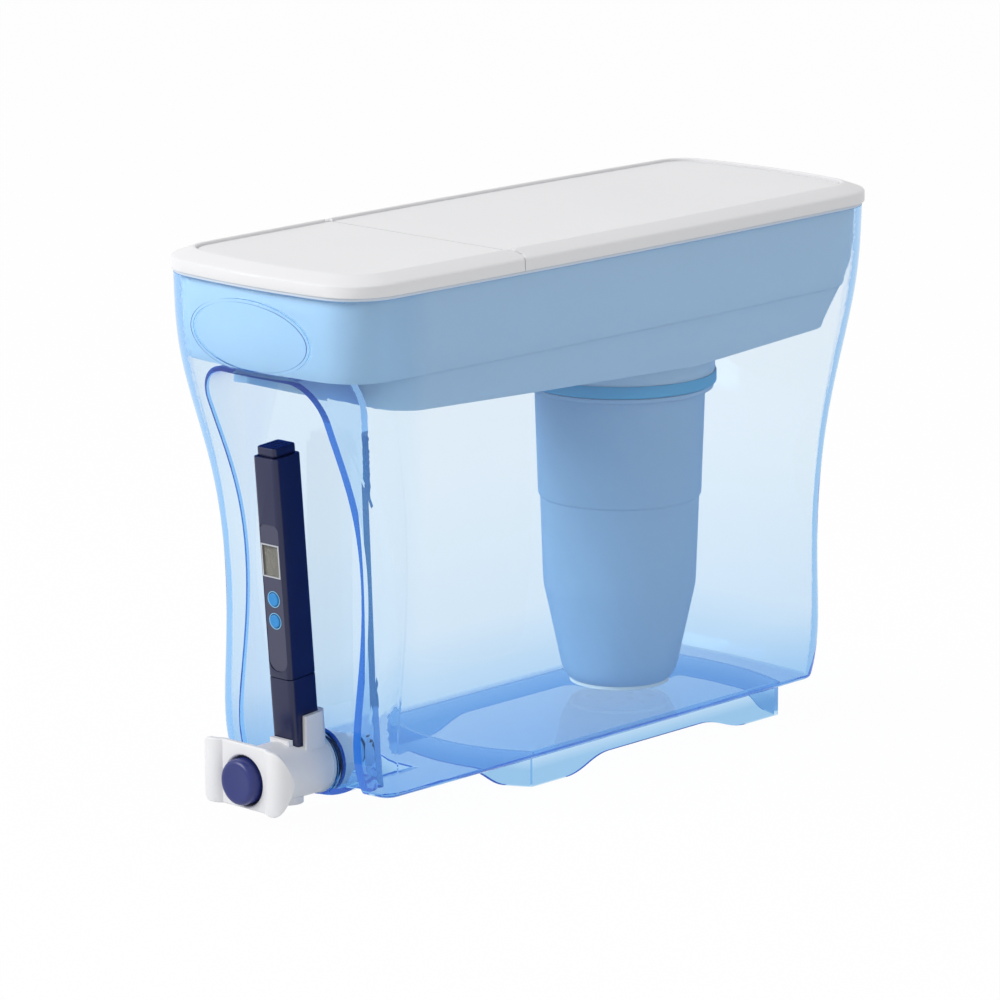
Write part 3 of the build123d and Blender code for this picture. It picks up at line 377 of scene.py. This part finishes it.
finishes = {
    "tank": TANK_CLEAR,
    "hopper": TRANSLUCENT_BLUE,
    "lid_rear": WHITE_PP,
    "lid_flap": WHITE_PP,
    "flap_pins": STEEL,
    "cartridge_shell": CUP_BLUE,
    "cartridge_gasket": TEAL_SILICONE,
    "inlet_screen": CUP_BLUE,
    "foam_disc": FOAM,
    "carbon_bed": CARBON,
    "resin_bed": RESIN,
    "outlet_membrane": FOAM,
    "tap_body": WHITE_PP,
    "finger_plate": WHITE_PP,
    "push_button": BUTTON_ABS,
    "valve_stem": WHITE_PP,
    "valve_seal": BLACK_RUBBER,
    "return_spring": STEEL,
    "tap_washer": GREY_SILICONE,
    "inner_gasket": BLACK_RUBBER,
    "tap_nut": WHITE_PP,
    "tester_cap": NAVY_ABS,
    "tester_body": NAVY_ABS,
    "battery_cover": NAVY_ABS,
    "button_cells": NICKEL,
    "label_plate": LABEL_FILM,
    "display_window": WINDOW,
    "display_module": DISPLAY_GREY,
    "circuit_board": BOARD,
    "upper_key": KEY_BLUE,
    "lower_key": KEY_BLUE,
    "probe_pins": STEEL,
}
for name, material in finishes.items():
    mesh = nodes[name].data
    mesh.materials.clear()
    mesh.materials.append(material)


# ------------------------------------------------------------------ forms
def bowed_ring(z, half_length, half_width, end_bow, side_bow, corner_r, side=20, corner=12, end=14):
    """Points of a rectangle with bowed sides and round corners at height z mm. The last three
    numbers are how many steps each side, corner and end takes."""

    def side_at(y):
        n = Vector((1, 2 * side_bow * y / half_length**2)).normalized()
        return Vector((half_width + side_bow * (1 - (y / half_length) ** 2), y)), n

    def end_at(x):
        n = Vector((2 * end_bow * x / half_width**2, 1)).normalized()
        return Vector((x, half_length + end_bow * (1 - (x / half_width) ** 2))), n

    # the corner's arc has to touch both bows, so its centre is found in small steps
    centre = Vector((half_width - corner_r, half_length - corner_r))
    for _ in range(30):
        ys = centre.y + corner_r * side_at(centre.y)[1].y
        centre.x = (side_at(ys)[0] - side_at(ys)[1] * corner_r).x
        xe = centre.x + corner_r * end_at(centre.x)[1].x
        centre.y = (end_at(xe)[0] - end_at(xe)[1] * corner_r).y
    start = side_at(ys)[1]
    stop = end_at(xe)[1]
    low, high = Vector((1, 0)).angle(start), Vector((1, 0)).angle(stop)
    quarter = [side_at(ys * 2 * i / side)[0] for i in range(side // 2 + 1)]
    for i in range(1, corner):
        turn = low + (high - low) * i / corner
        quarter.append(centre + Vector((cos(turn), sin(turn))) * corner_r)
    quarter += [end_at(xe * (1 - 2 * i / end))[0] for i in range(end // 2 + 1)]
    ring = [(p.x, p.y) for p in quarter]
    ring += [(-x, y) for x, y in reversed(ring[:-1])]
    ring += [(-x, -y) for x, y in ring[1:-1]]
    return [Vector((x, y + TANK_Y, z)) * MM for x, y in ring]


def skin(rings, endless=False):
    """A closed form from rings of points, each joined to the next. Its ends are closed, or the
    last ring joins the first if it is endless."""
    form = bmesh.new()
    rows = [[form.verts.new(p) for p in ring] for ring in rings]
    if endless:
        rows.append(rows[0])
    count = len(rows[0])
    for low, high in zip(rows, rows[1:]):
        for i in range(count):
            j = (i + 1) % count
            form.faces.new((low[i], low[j], high[j], high[i]))
    if not endless:
        form.faces.new(list(reversed(rows[0])))
        form.faces.new(rows[-1])
    bmesh.ops.recalc_face_normals(form, faces=form.faces)
    return form


def piece(name, form, material=None):
    """Turns a form into an object."""
    mesh = bpy.data.meshes.new(name)
    form.to_mesh(mesh)
    form.free()
    made = bpy.data.objects.new(name, mesh)
    bpy.context.scene.collection.objects.link(made)
    if material:
        mesh.materials.append(material)
    return made


def settle(made, sharp=35):
    """Applies the modifiers, and shades smooth except at edges sharper than the angle."""
    bpy.context.view_layer.update()
    shown = made.evaluated_get(bpy.context.evaluated_depsgraph_get())
    mesh = bpy.data.meshes.new_from_object(shown)
    old = made.data
    made.modifiers.clear()
    made.data = mesh
    bpy.data.meshes.remove(old)
    mesh.shade_smooth()
    mesh.set_sharp_from_angle(angle=radians(sharp))
    return made


def combine(made, other, how="DIFFERENCE"):
    """Cuts other from made, or joins it on, and removes other."""
    change = made.modifiers.new("cut", "BOOLEAN")
    change.operation = how
    change.solver = "EXACT"
    change.object = other
    settle(made)
    bpy.data.objects.remove(other)
    return made


def soften(made, width_mm, steps=3, angle=30):
    """Rounds every edge sharper than the angle."""
    edge = made.modifiers.new("edge", "BEVEL")
    edge.width = width_mm * MM
    edge.segments = steps
    edge.limit_method = "ANGLE"
    edge.angle_limit = radians(angle)
    edge.use_clamp_overlap = True
    edge.harden_normals = False
    return settle(made)


def rounded(corners, steps=6):
    """A path through corners (a, b, radius), each turned with an arc of its radius."""
    path = []
    count = len(corners)
    for i, (a, b, radius) in enumerate(corners):
        here = Vector((a, b))
        before = Vector(corners[i - 1][:2]) - here
        after = Vector(corners[(i + 1) % count][:2]) - here
        if not radius:
            path.append(here)
            continue
        bend = before.angle(after)
        reach = min(radius / (sin(bend / 2) / cos(bend / 2)), before.length / 2, after.length / 2)
        true_r = reach * sin(bend / 2) / cos(bend / 2)
        centre = here + (before.normalized() + after.normalized()).normalized() * (
            true_r / sin(bend / 2)
        )
        start = here + before.normalized() * reach - centre
        sweep = (here + after.normalized() * reach - centre).angle_signed(start)
        for k in range(steps + 1):
            turn = sweep * k / steps
            spun = Vector(
                (
                    start.x * cos(turn) - start.y * sin(turn),
                    start.x * sin(turn) + start.y * cos(turn),
                )
            )
            path.append(centre + spun)
    return path


def turned_rings(profile, origin, axis, around):
    """Rings about an axis, one for each (radius, distance along the axis), in mm."""
    axis = Vector(axis).normalized()
    one = axis.orthogonal().normalized()
    two = axis.cross(one)
    turns = [2 * pi * k / around for k in range(around)]
    spokes = [one * cos(turn) + two * sin(turn) for turn in turns]
    return [
        [(Vector(origin) + axis * along + spoke * radius) * MM for spoke in spokes]
        for radius, along in profile
    ]


def turned(profile, origin, axis, around=96):
    """A form turned about an axis, closed at both ends."""
    return skin(turned_rings(profile, origin, axis, around))


def drawn(outline, place, width, height, out, near, far):
    """An outline of (a, b) points, standing at place on the width and height directions, pushed
    from near to far along out, in mm."""
    place, width, height, out = Vector(place), Vector(width), Vector(height), Vector(out)
    return skin(
        [[(place + width * a + height * b + out * s) * MM for a, b in outline] for s in (near, far)]
    )


def hoop(profile, origin, axis, around=96):
    """A ring turned about an axis from a closed profile of (radius, distance along the axis)."""
    return skin(turned_rings(profile, origin, axis, around), endless=True)


# ------------------------------------------------------------------ reservoir
def front_and_rear(front, rear):
    """The front half of one outline and the rear half of another."""
    return [back if back.y > TANK_Y * MM else fore for fore, back in zip(front, rear)]


def tank_ring(z, inset, rear_short=0.0):
    """The tank's outline at height z, moved inwards, with its rear end shortened on top of that."""
    climb = min(max((z - FLARE_LOW_Z) / (FLARE_HIGH_Z - FLARE_LOW_Z), 0.0), 1.0)
    flare = (climb * climb * (3 - 2 * climb)) ** 1.5
    rise = (z - FLOOR_Z) / (RIM_Z - FLOOR_Z)
    sizes = (
        53.5 + 12.5 * rise - inset,
        3.0 + 3.0 * flare,
        1.2 + 1.8 * rise,
        8.0 + 18.0 * flare - min(inset, TANK_WALL),
    )
    half_length = 150.3 + 29.7 * flare - inset
    front = bowed_ring(z, half_length, *sizes)
    return front_and_rear(front, bowed_ring(z, half_length - rear_short, *sizes))


def trough_ring(z, inset, front_half, rear_half, half_width, corner_r):
    """The outline of the reservoir's lower part, whose two ends stand at different distances."""
    bow = 1.8
    front, rear = (
        bowed_ring(z, half - inset, half_width - inset, bow, bow, corner_r - inset)
        for half in (front_half, rear_half)
    )
    return front_and_rear(front, rear)


def reservoir_skin(inset, top_z):
    """The reservoir's outer form, moved inwards by inset. Its rear end slopes in with the tank's
    end wall, and its front end steps over the alcove's ceiling."""
    # height, front and rear distance, half width, corner radius
    trough = (
        (188.0, 146.4, 148.0, 58.8, 13.0),
        (198.0, 146.8, 153.5, 59.2, 14.0),
        (206.0, 147.2, 160.5, 59.5, 16.0),
        (212.4, 147.6, 166.4, 60.0, 18.0),
        (213.7, 148.8, 167.6, 60.3, 18.5),
    )
    rings = [trough_ring(z + inset, inset, *sizes) for z, *sizes in trough]
    from_tank = TANK_WALL + RESERVOIR_GAP + inset
    for z, rear_short in ((214.1, 6.8), (219.0, 4.4), (226.0, 1.8), (236.0, 0.0)):
        rings.append(tank_ring(z + inset, from_tank, rear_short))
    rings += [tank_ring(244.0 + inset / 2, from_tank), tank_ring(top_z, from_tank)]
    return skin(rings)


def bore(radius, low, high, x=0.0, y=0.0):
    """An upright cylinder for cutting, at x and y from the cartridge's axis."""
    return piece("bore", turned([(radius, low), (radius, high)], (x, FILTER_Y + y, 0), UP, 48))


def make_reservoir():
    """Trough and band, the collar for the cartridge, and two mould lines down the side."""
    trough = piece("reservoir", reservoir_skin(0.0, RIM_Z + 0.3), TRANSLUCENT_BLUE)
    hollow = piece("hollow", reservoir_skin(RESERVOIR_WALL, RIM_Z + 5))
    for target, lift in ((trough, 0.0), (hollow, RESERVOIR_WALL)):
        floor_line = [
            (TANK_Y - 156, 198.2 + lift),
            (FILTER_Y - 12, 190.0 + lift),
            (TANK_Y + 156, 195.6 + lift),
            (TANK_Y + 156, 170),
            (TANK_Y - 156, 170),
        ]
        wedge = drawn(floor_line, (0, 0, 0), BACK, UP, ACROSS, -80, 80)
        combine(target, piece("wedge", wedge))
    collar = turned([(46.3, 175.4), (46.3, 193.0)], (0, FILTER_Y, 0), UP, 120)
    combine(trough, piece("collar", collar), "UNION")
    combine(trough, hollow)
    combine(trough, bore(38.55, 174.0, 197.4))
    soften(trough, 0.7, 2, 40)
    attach(trough, "reservoir")
    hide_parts("hopper")

    # the flange takes the paler colour that paints the light on its edge
    rim = piece("reservoir_flange", skin([tank_ring(252.5, 0.1), tank_ring(253.9, 0.1)]), FLANGE_PAINTED_LIT)
    combine(rim, piece("flange_mouth", skin([tank_ring(250.0, 5.3), tank_ring(256.0, 5.3)])))
    soften(rim, 0.25, 2, 40)
    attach(rim, "reservoir")

    for y in (1.2, 9.4):
        form = bmesh.new()
        bmesh.ops.create_cube(form, size=1)
        line = piece("mould_line", form, TRANSLUCENT_BLUE)
        low, high = Vector((59.9, y + TANK_Y + 0.4, 196.5)), Vector((62.1, y + TANK_Y - 0.5, 250.5))
        run = high - low
        line.matrix_world = (
            Matrix.Translation((low + high) / 2 * MM)
            @ run.to_track_quat("Z", "Y").to_matrix().to_4x4()
            @ Matrix.Diagonal((0.9 * MM, 0.6 * MM, run.length * MM, 1))
        )
        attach(line, "reservoir")


# ------------------------------------------------------------------ cartridge
def curve(start, corner, end, steps=8):
    """A rounded corner from start to end, bending towards corner."""
    start, corner, end = Vector(start), Vector(corner), Vector(end)
    points = []
    for i in range(steps + 1):
        t = i / steps
        points.append(start * (1 - t) ** 2 + corner * 2 * t * (1 - t) + end * t**2)
    return points


def make_cartridge():
    """The cup, thin walled, with drain holes in its foot, and the gasket under the collar."""
    outside = [(0.5, 21.6)] + curve((15.0, 21.6), (26.3, 21.6), (28.9, 33.0), 10)
    outside += curve((36.6, 69.0), (37.4, 72.5), (37.5, 76.0), 4)
    outside += [(38.9, 116.3)] + curve((38.9, 116.4), (39.8, 116.9), (39.9, 118.2), 3)
    outside += [(41.6, 169.4)] + curve((41.6, 169.5), (41.7, 170.2), (44.4, 170.2), 3)
    outside += curve((45.1, 170.3), (45.6, 170.4), (45.6, 170.9), 3) + [(45.6, 172.4)]
    outside += [(38.3, 172.5), (38.2, 186.0), (37.6, 186.6), (36.5, 186.6)]
    inside = [(36.4, 168.6), (38.1, 118.0), (37.1, 116.5), (35.6, 72.0), (25.5, 27.0)]
    inside += [(22.0, 23.4), (0.5, 23.4)]
    cup = piece("cartridge_cup", turned(outside + inside, (0, FILTER_Y, 0), UP, 128), CUP_BLUE)
    for ring_r, count in ((15.0, 8), (7.5, 4)):
        for i in range(count):
            turn = 2 * pi * i / count
            combine(cup, bore(1.8, 20.0, 25.0, ring_r * cos(turn), ring_r * sin(turn)))
    settle(cup, 30)
    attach(cup, "cartridge")
    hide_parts("cartridge_shell")

    lip = [(39.0, 172.7), (45.0, 172.7)] + curve((45.6, 172.7), (47.0, 172.9), (47.1, 174.0), 4)
    lip += [(47.1, 178.6), (46.9, 179.0), (46.5, 179.0), (46.45, 175.3), (39.0, 175.2)]
    gasket = piece("gasket", hoop(lip, (0, FILTER_Y, 0), UP, 128), TEAL_SILICONE)
    settle(gasket, 40)
    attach(gasket, "cartridge")
    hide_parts("cartridge_gasket")


# ------------------------------------------------------------------ lid
def lid_ring(inset, z, corner_r):
    """The lid's outline, moved inwards."""
    return bowed_ring(z, 180.8 - inset, 66.8 - inset, 6.0, 3.0, corner_r)


def lid_form():
    """The whole lid: skirt, raised crest, a fine groove inside it, the panel and the ribs below."""
    section = [(16.0, 259.6, 11.0), (8.5, 259.6, 21.0), (8.5, 248.3, 21.0), (8.2, 248.0, 21.3)]
    section += [(7.0, 248.0, 22.5), (6.7, 248.3, 22.8), (6.7, 259.6, 22.8), (2.4, 259.6, 23.6)]
    section += [(2.4, 254.0, 23.6), (0.6, 254.0, 25.4), (0.2, 254.1, 25.8), (0.0, 254.5, 26.0)]
    section += [(0.0, 258.7, 26.0), (0.15, 259.3, 25.8), (0.6, 259.8, 25.3), (1.4, 260.2, 24.5)]
    section += [(8.6, 263.0, 17.4), (9.2, 263.25, 16.8), (9.9, 263.35, 16.1), (10.5, 263.25, 15.5)]
    section += [(10.8, 262.9, 15.2), (10.9, 261.3, 15.1), (11.6, 261.3, 14.4), (11.8, 262.0, 14.2)]
    section += [(12.2, 262.15, 13.8), (16.0, 262.1, 11.0)]
    return skin([lid_ring(*place) for place in section])


def lid_part(name, keep, cutters, body, replaced):
    """The lid's share on one side of the seam, less what the hinge needs."""
    part = piece(name, lid_form(), WHITE_PP)
    for cutter in [keep] + cutters:
        combine(part, piece("cutter", cutter))
    settle(part, 28)
    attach(part, body)
    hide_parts(replaced)
    return part


def hinge_prism(outline, low_x, high_x):
    """A prism across from points (back, up) counted from the hinge's axis."""
    return drawn(outline, (0, HINGE_Y, HINGE_Z), BACK, UP, ACROSS, low_x, high_x)


def hinge_rod(radius, middle, half_long, around):
    """A rod on the hinge's axis."""
    ends = [(radius, -half_long), (radius, half_long)]
    return turned(ends, (middle, HINGE_Y, HINGE_Z), ACROSS, around)


def make_lid():
    """Rear lid and filling flap, cut from one form, with the hinge's fingers and slots."""
    front_of_seam = hinge_prism([(0.5, -20), (0.5, 20), (-400, 20), (-400, -20)], -90, 90)
    notches = []
    for side in (-1, 1):
        notch = [(0, -1.6), (1, -1.6), (2.95, 0), (2.95, 6), (0, 6)]
        ends = sorted((side * 55.3, side * 76.0))
        notches.append(hinge_prism(notch, *ends))
    clearance = hinge_rod(1.86, 0, 90, 40)
    rear = lid_part("lid_rear_shell", front_of_seam, notches + [clearance], "lid", "lid_rear")
    for side in (-1, 1):
        middle = side * FINGER_X
        web = hinge_prism([(0, -1.1), (3.4, -1.1), (3.4, 1.1), (0, 1.1)], middle - 1.2, middle + 1.2)
        combine(rear, piece("finger", hinge_rod(1.6, middle, 1.2, 40)), "UNION")
        combine(rear, piece("web", web), "UNION")
        combine(rear, piece("hole", hinge_rod(0.76, middle, 2, 24)))
    settle(rear, 28)

    behind = [(0, -30), (0, -1.0), (1.2, -1.0), (1.2, 1.0), (-2.2, 4.4), (400, 4.4), (400, -30)]
    slots = []
    for side in (-1, 1):
        slot = [(-1.9, -2.0), (3.5, -2.0), (3.5, 5.2), (-1.9, 5.2)]
        slots.append(hinge_prism(slot, side * FINGER_X - 1.5, side * FINGER_X + 1.5))
        slots.append(hinge_rod(0.7, side * FINGER_X, 3.5, 24))
    lid_part("lid_flap_shell", hinge_prism(behind, -90, 90), slots, "flap", "lid_flap")


# ------------------------------------------------------------------ tap
def plate_half_height(turn):
    """Half height of the finger plate where its roll has turned this many degrees from the crest."""
    if turn <= 0:
        return PLATE_HALF
    behind = min(EAR_R * (1 - cos(radians(turn))) / 7.8, 1.0)
    return max(PLATE_HALF * (1 - behind**1.25) ** 0.8, 1.0)


def plate_band(place, facing, half, thickness=3.2, edge=0.9):
    """One cross section of the plate: place is (x, forward) on its face, facing its direction."""
    edge = min(edge, half * 0.8)
    ring = []
    corners = (
        (thickness - edge, half - edge),
        (edge, half - edge),
        (edge, edge - half),
        (thickness - edge, edge - half),
    )
    for quarter, (middle_depth, middle_height) in enumerate(corners):
        for i in range(5):
            turn = radians(90 * quarter + 22.5 * i)
            spot = place - facing * (middle_depth + edge * cos(turn))
            height = PLATE_Z + middle_height + edge * sin(turn)
            ring.append(Vector((spot.x, TANK_Y - spot.y, height)) * MM)
    return ring


def tapered(ring, step, size):
    """A smaller copy of a cross section, step further on, that rounds off the end."""
    middle = sum(ring, Vector()) / len(ring)
    return [middle + (p - middle) * size + step for p in ring]


def make_finger_plate():
    """A flat middle between two rolls, each narrowing to a blunt nose behind its crest."""
    bands = []
    for side in (-1, 1):
        ear = []
        for i in range(27):
            turn = -44.5 + 129.0 * i / 26
            facing = Vector((side * sin(radians(turn)), cos(radians(turn))))
            place = Vector((side * EAR_X, EAR_FORWARD)) + facing * EAR_R
            ear.append(plate_band(place, facing, plate_half_height(turn)))
        nose = Vector((0, 0.5 * MM, 0))
        ear += [tapered(ear[-1], nose, 0.75), tapered(ear[-1], nose * 1.4, 0.3)]
        bands.append(ear)
    left, right = bands
    flat = [plate_band(Vector((x, 192.1)), Vector((0, 1)), PLATE_HALF) for x in (-13.2, 13.2)]
    plate = piece("plate", skin(left[::-1] + flat + right), WHITE_PP)
    hole = [(12.0, 180.0), (12.0, 191.2), (12.2, 191.7), (12.9, 192.2), (13.2, 193.0), (13.2, 200.0)]
    combine(plate, piece("hole", turned(hole, TAP_AXIS, FORWARD, 72)))
    settle(plate, 32)
    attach(plate, "base")
    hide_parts("finger_plate")


def make_button():
    """A round cap with a soft edge, a skirt and the boss that takes the stem."""
    shape = [(0.3, 196.9), (5.0, 196.95), (7.6, 197.2)]
    shape += curve((8.3, 197.2), (10.9, 197.2), (10.9, 194.2), 9)
    shape += [(10.9, 183.3), (10.7, 183.1), (9.4, 183.1), (9.4, 195.2), (4.0, 195.2)]
    shape += [(4.0, 186.3), (2.05, 186.3), (2.05, 195.2), (0.3, 195.2)]
    button = settle(piece("button", turned(shape, TAP_AXIS, FORWARD, 96), BUTTON_ABS), 40)
    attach(button, "tap_valve")
    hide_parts("push_button")


def make_spring():
    """A compression spring between the tap's pocket and the button."""
    foot, head, coil_r, wire_r, turns, press = 178.0, 195.2, 6.0, 0.8, 4.5, 4.0
    coil_long = head - foot - 2 * wire_r
    rise = coil_long / (2 * pi * turns * coil_r)
    steps = 108
    rings = []
    for i in range(steps + 1):
        turn = 2 * pi * turns * i / steps
        out = Vector((cos(turn), 0, sin(turn)))
        onward = (Vector((-sin(turn), 0, cos(turn))) + FORWARD * rise).normalized()
        up = onward.cross(out)
        along = foot + wire_r + coil_long * i / steps
        middle = TAP_AXIS + FORWARD * along + out * coil_r
        ring = [middle + (out * cos(pi * k / 4) + up * sin(pi * k / 4)) * wire_r for k in range(8)]
        rings.append([p * MM for p in ring])
    spring = settle(piece("spring", skin(rings), STEEL), 50)
    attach(spring, "base")
    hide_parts("return_spring")
    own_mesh(spring)


# ------------------------------------------------------------------ pocket tester
def bar(half_wide, half_deep, corner, low, high, edge=0.5):
    """A length of the tester's rounded section with softened ends."""
    rings = []
    levels = [(low, edge), (low + edge * 0.3, edge * 0.3), (low + edge, 0)]
    levels += [(high - edge, 0), (high - edge * 0.3, edge * 0.3), (high, edge)]
    for along, inset in levels:
        a, b, r = half_wide - inset, half_deep - inset, max(corner - inset, 0.3)
        outline = rounded([(-a, -b, r), (a, -b, r), (a, b, r), (-a, b, r)], 7)
        rings.append(
            [(TESTER_FOOT + ACROSS * p.x + INWARD * p.y + ALONG * along) * MM for p in outline]
        )
    return skin(rings)


def on_face(outline, near, far):
    """A prism through the tester's face: outline is (across, along), depths count inwards."""
    return drawn(outline, TESTER_FOOT - INWARD * HALF_DEEP, ACROSS, ALONG, INWARD, near, far)


def disc(radius, along, steps=48):
    """A round outline on the tester's face."""
    turns = [2 * pi * k / steps for k in range(steps)]
    return [Vector((radius * cos(t), along + radius * sin(t))) for t in turns]


def panel_outline(inset=0.0):
    """The label's outline: square shoulders above, a full round below."""
    a, low, high = 6.0 - inset, 40.8 + inset, 111.5 - inset
    return rounded([(-a, low, 5.4), (a, low, 5.4), (a, high, 3.0), (-a, high, 3.0)], 8)


def block(size, across, along, inward):
    """A box on the tester's own directions."""
    form = bmesh.new()
    bmesh.ops.create_cube(form, size=1)
    made = piece("block", form)
    turn = Matrix((ACROSS, INWARD, ALONG)).transposed().to_4x4()
    middle = TESTER_FOOT + ACROSS * across + INWARD * inward + ALONG * along
    scale = Matrix.Diagonal((*(Vector(size) * MM), 1))
    made.data.transform(Matrix.Translation(middle * MM) @ turn @ scale)
    return made


def window_outline(grow=0.0):
    """The display's outline."""
    a, low, high = 5.6 + grow, 86.3 - grow, 102.0 + grow
    return [(-a, low), (a, low), (a, high), (-a, high)]


def make_tester():
    """Cap, hollow body with its sunken label, window and keys, and the battery cover."""
    cap = piece("cap", bar(HALF_WIDE, HALF_DEEP, 2.6, 0.0, CAP_END, 0.6), NAVY_ABS)
    combine(cap, piece("cap_bore", bar(6.3, 7.5, 1.4, 1.5, 39.0, 0.1)))
    settle(cap, 35)
    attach(cap, "tester_sleeve")
    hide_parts("tester_cap")

    body = piece("body", bar(HALF_WIDE, HALF_DEEP, 2.6, BODY_AT, HEAD_AT, 0.5), NAVY_ABS)
    combine(body, piece("nose", bar(6.2, 7.4, 1.3, 24.5, 38.4, 0.4)), "UNION")
    combine(body, piece("board_bay", bar(5.9, 7.1, 1.0, 46.0, 117.0, 0.1)))
    combine(body, piece("cell_bay", bar(5.9, 7.1, 1.0, 119.4, 145.0, 0.1)))
    combine(body, piece("panel", on_face(panel_outline(), -1, 0.8)))
    combine(body, piece("window_hole", on_face(window_outline(0.02), 0.5, 3.0)))
    for along in KEYS_AT:
        combine(body, piece("key_hole", on_face(disc(KEY_HOLE_R, along), 0.5, 3.0)))
    for i in range(GRIPS):
        combine(body, block((1.2, 12.0, 0.9), -HALF_WIDE, 104.5 + 2.1 * i, 0.0))
    settle(body, 35)
    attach(body, "tester")
    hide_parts("tester_body")

    label = piece("label", on_face(panel_outline(0.1), 0.4, 0.8), LABEL_FILM)
    combine(label, piece("window_hole", on_face(window_outline(0.0), -1, 2)))
    for along in KEYS_AT:
        combine(label, piece("key_hole", on_face(disc(KEY_HOLE_R, along), -1, 2)))
    settle(label, 35)
    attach(label, "tester")
    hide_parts("label_plate")

    frame_line = piece("window_frame", on_face(window_outline(0.1), 0.05, 0.38), FRAME_GREY)
    combine(frame_line, piece("pane", on_face(window_outline(-0.55), -1, 2)))
    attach(frame_line, "tester")

    for along, node_name in zip(KEYS_AT, ("upper_key", "lower_key")):
        at = TESTER_FOOT - INWARD * HALF_DEEP + ALONG * along
        shape = [(0.2, -2.4), (3.9, -2.4), (3.9, -1.65), (3.15, -1.6), (3.15, -0.2)]
        shape += curve((3.15, -0.2), (3.15, 0.3), (2.5, 0.3), 4) + [(1.4, 0.2), (0.2, 0.16)]
        key = settle(piece("key", turned(shape, at, -INWARD, 48), KEY_BLUE), 40)
        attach(key, "tester_" + node_name)
        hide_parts(node_name)
        loop = [(KEY_HOLE_R, -0.4), (3.95, -0.4), (3.95, -0.25), (KEY_HOLE_R, -0.25)]
        ring = piece("key_ring", hoop(loop, at, -INWARD, 48), RING_BLUE)
        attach(ring, "tester")

    head = piece("head", bar(6.0, 7.2, 2.0, HEAD_AT, HEAD_END, 0.8), NAVY_ABS)
    for i in range(4):
        combine(head, block((8.4, 0.9, 1.8), 0.0, HEAD_END, 2.0 * (i - 1.5)))
    plug = turned([(5.7, 141.0), (5.7, 143.4)], TESTER_FOOT, ALONG, 48)
    combine(head, piece("plug", plug), "UNION")
    settle(head, 35)
    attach(head, "tester")
    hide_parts("battery_cover")


make_reservoir()
make_cartridge()
make_lid()
make_finger_plate()
make_button()
make_spring()
make_tester()


# ------------------------------------------------------------------ floor and light
def white_floor():
    """A pale table that shows white and keeps a faint shadow."""
    material = blank("painted_table_white")
    glow = node(material, "ShaderNodeEmission", Strength=1.0).outputs[0]
    paint = node(material, "ShaderNodeBsdfDiffuse", Color=linear("F4F4F4")).outputs[0]
    looked_at = node(material, "ShaderNodeMixShader", _0=0.975, _1=paint, _2=glow)
    seen = seen_directly(material)
    table = node(material, "ShaderNodeMixShader", _0=seen, _1=paint, _2=looked_at.outputs[0])
    return finish(material, table)


def lay_floor():
    """The table that the feet stand on."""
    form = bmesh.new()
    bmesh.ops.create_grid(form, x_segments=1, y_segments=1, size=6)
    piece("table", form, white_floor())


def white_room():
    """White to look at, and a softer light on the pieces."""
    world = bpy.data.worlds.new("room")
    bpy.context.scene.world = world
    world.use_nodes = True
    world.node_tree.nodes.clear()
    seen = seen_directly(world)
    strength = node(world, "ShaderNodeMapRange", Value=seen, To_Min=0.45, To_Max=1.0)
    sky = node(world, "ShaderNodeBackground", Color=(1, 1, 1, 1), Strength=strength.outputs[0])
    out = node(world, "ShaderNodeOutputWorld")
    world.node_tree.links.new(sky.outputs[0], out.inputs["Surface"])


LIT_SPOT = Vector((0, 0, 0.12))  # what the lamps aim at


def soft_lamp(name, place, size, watts, mirrored=True):
    """A square lamp aimed at the tank's middle, seen in reflections if it is mirrored."""
    lamp = bpy.data.lights.new(name, "AREA")
    lamp.shape = "SQUARE"
    lamp.size = size
    lamp.energy = watts
    holder = bpy.data.objects.new(name, lamp)
    bpy.context.scene.collection.objects.link(holder)
    holder.visible_glossy = mirrored
    holder.location = place
    holder.rotation_euler = (LIT_SPOT - Vector(place)).to_track_quat("-Z", "Y").to_euler()


bpy.context.scene.view_settings.view_transform = "Standard"
lay_floor()
white_room()
soft_lamp("front_left", (-1.2, -2.2, 1.6), 1.4, 48)
soft_lamp("overhead", (0.3, 0.2, 2.4), 1.6, 11, mirrored=False)
soft_lamp("right_side", (2.4, -0.2, 0.9), 1.4, 6, mirrored=False)
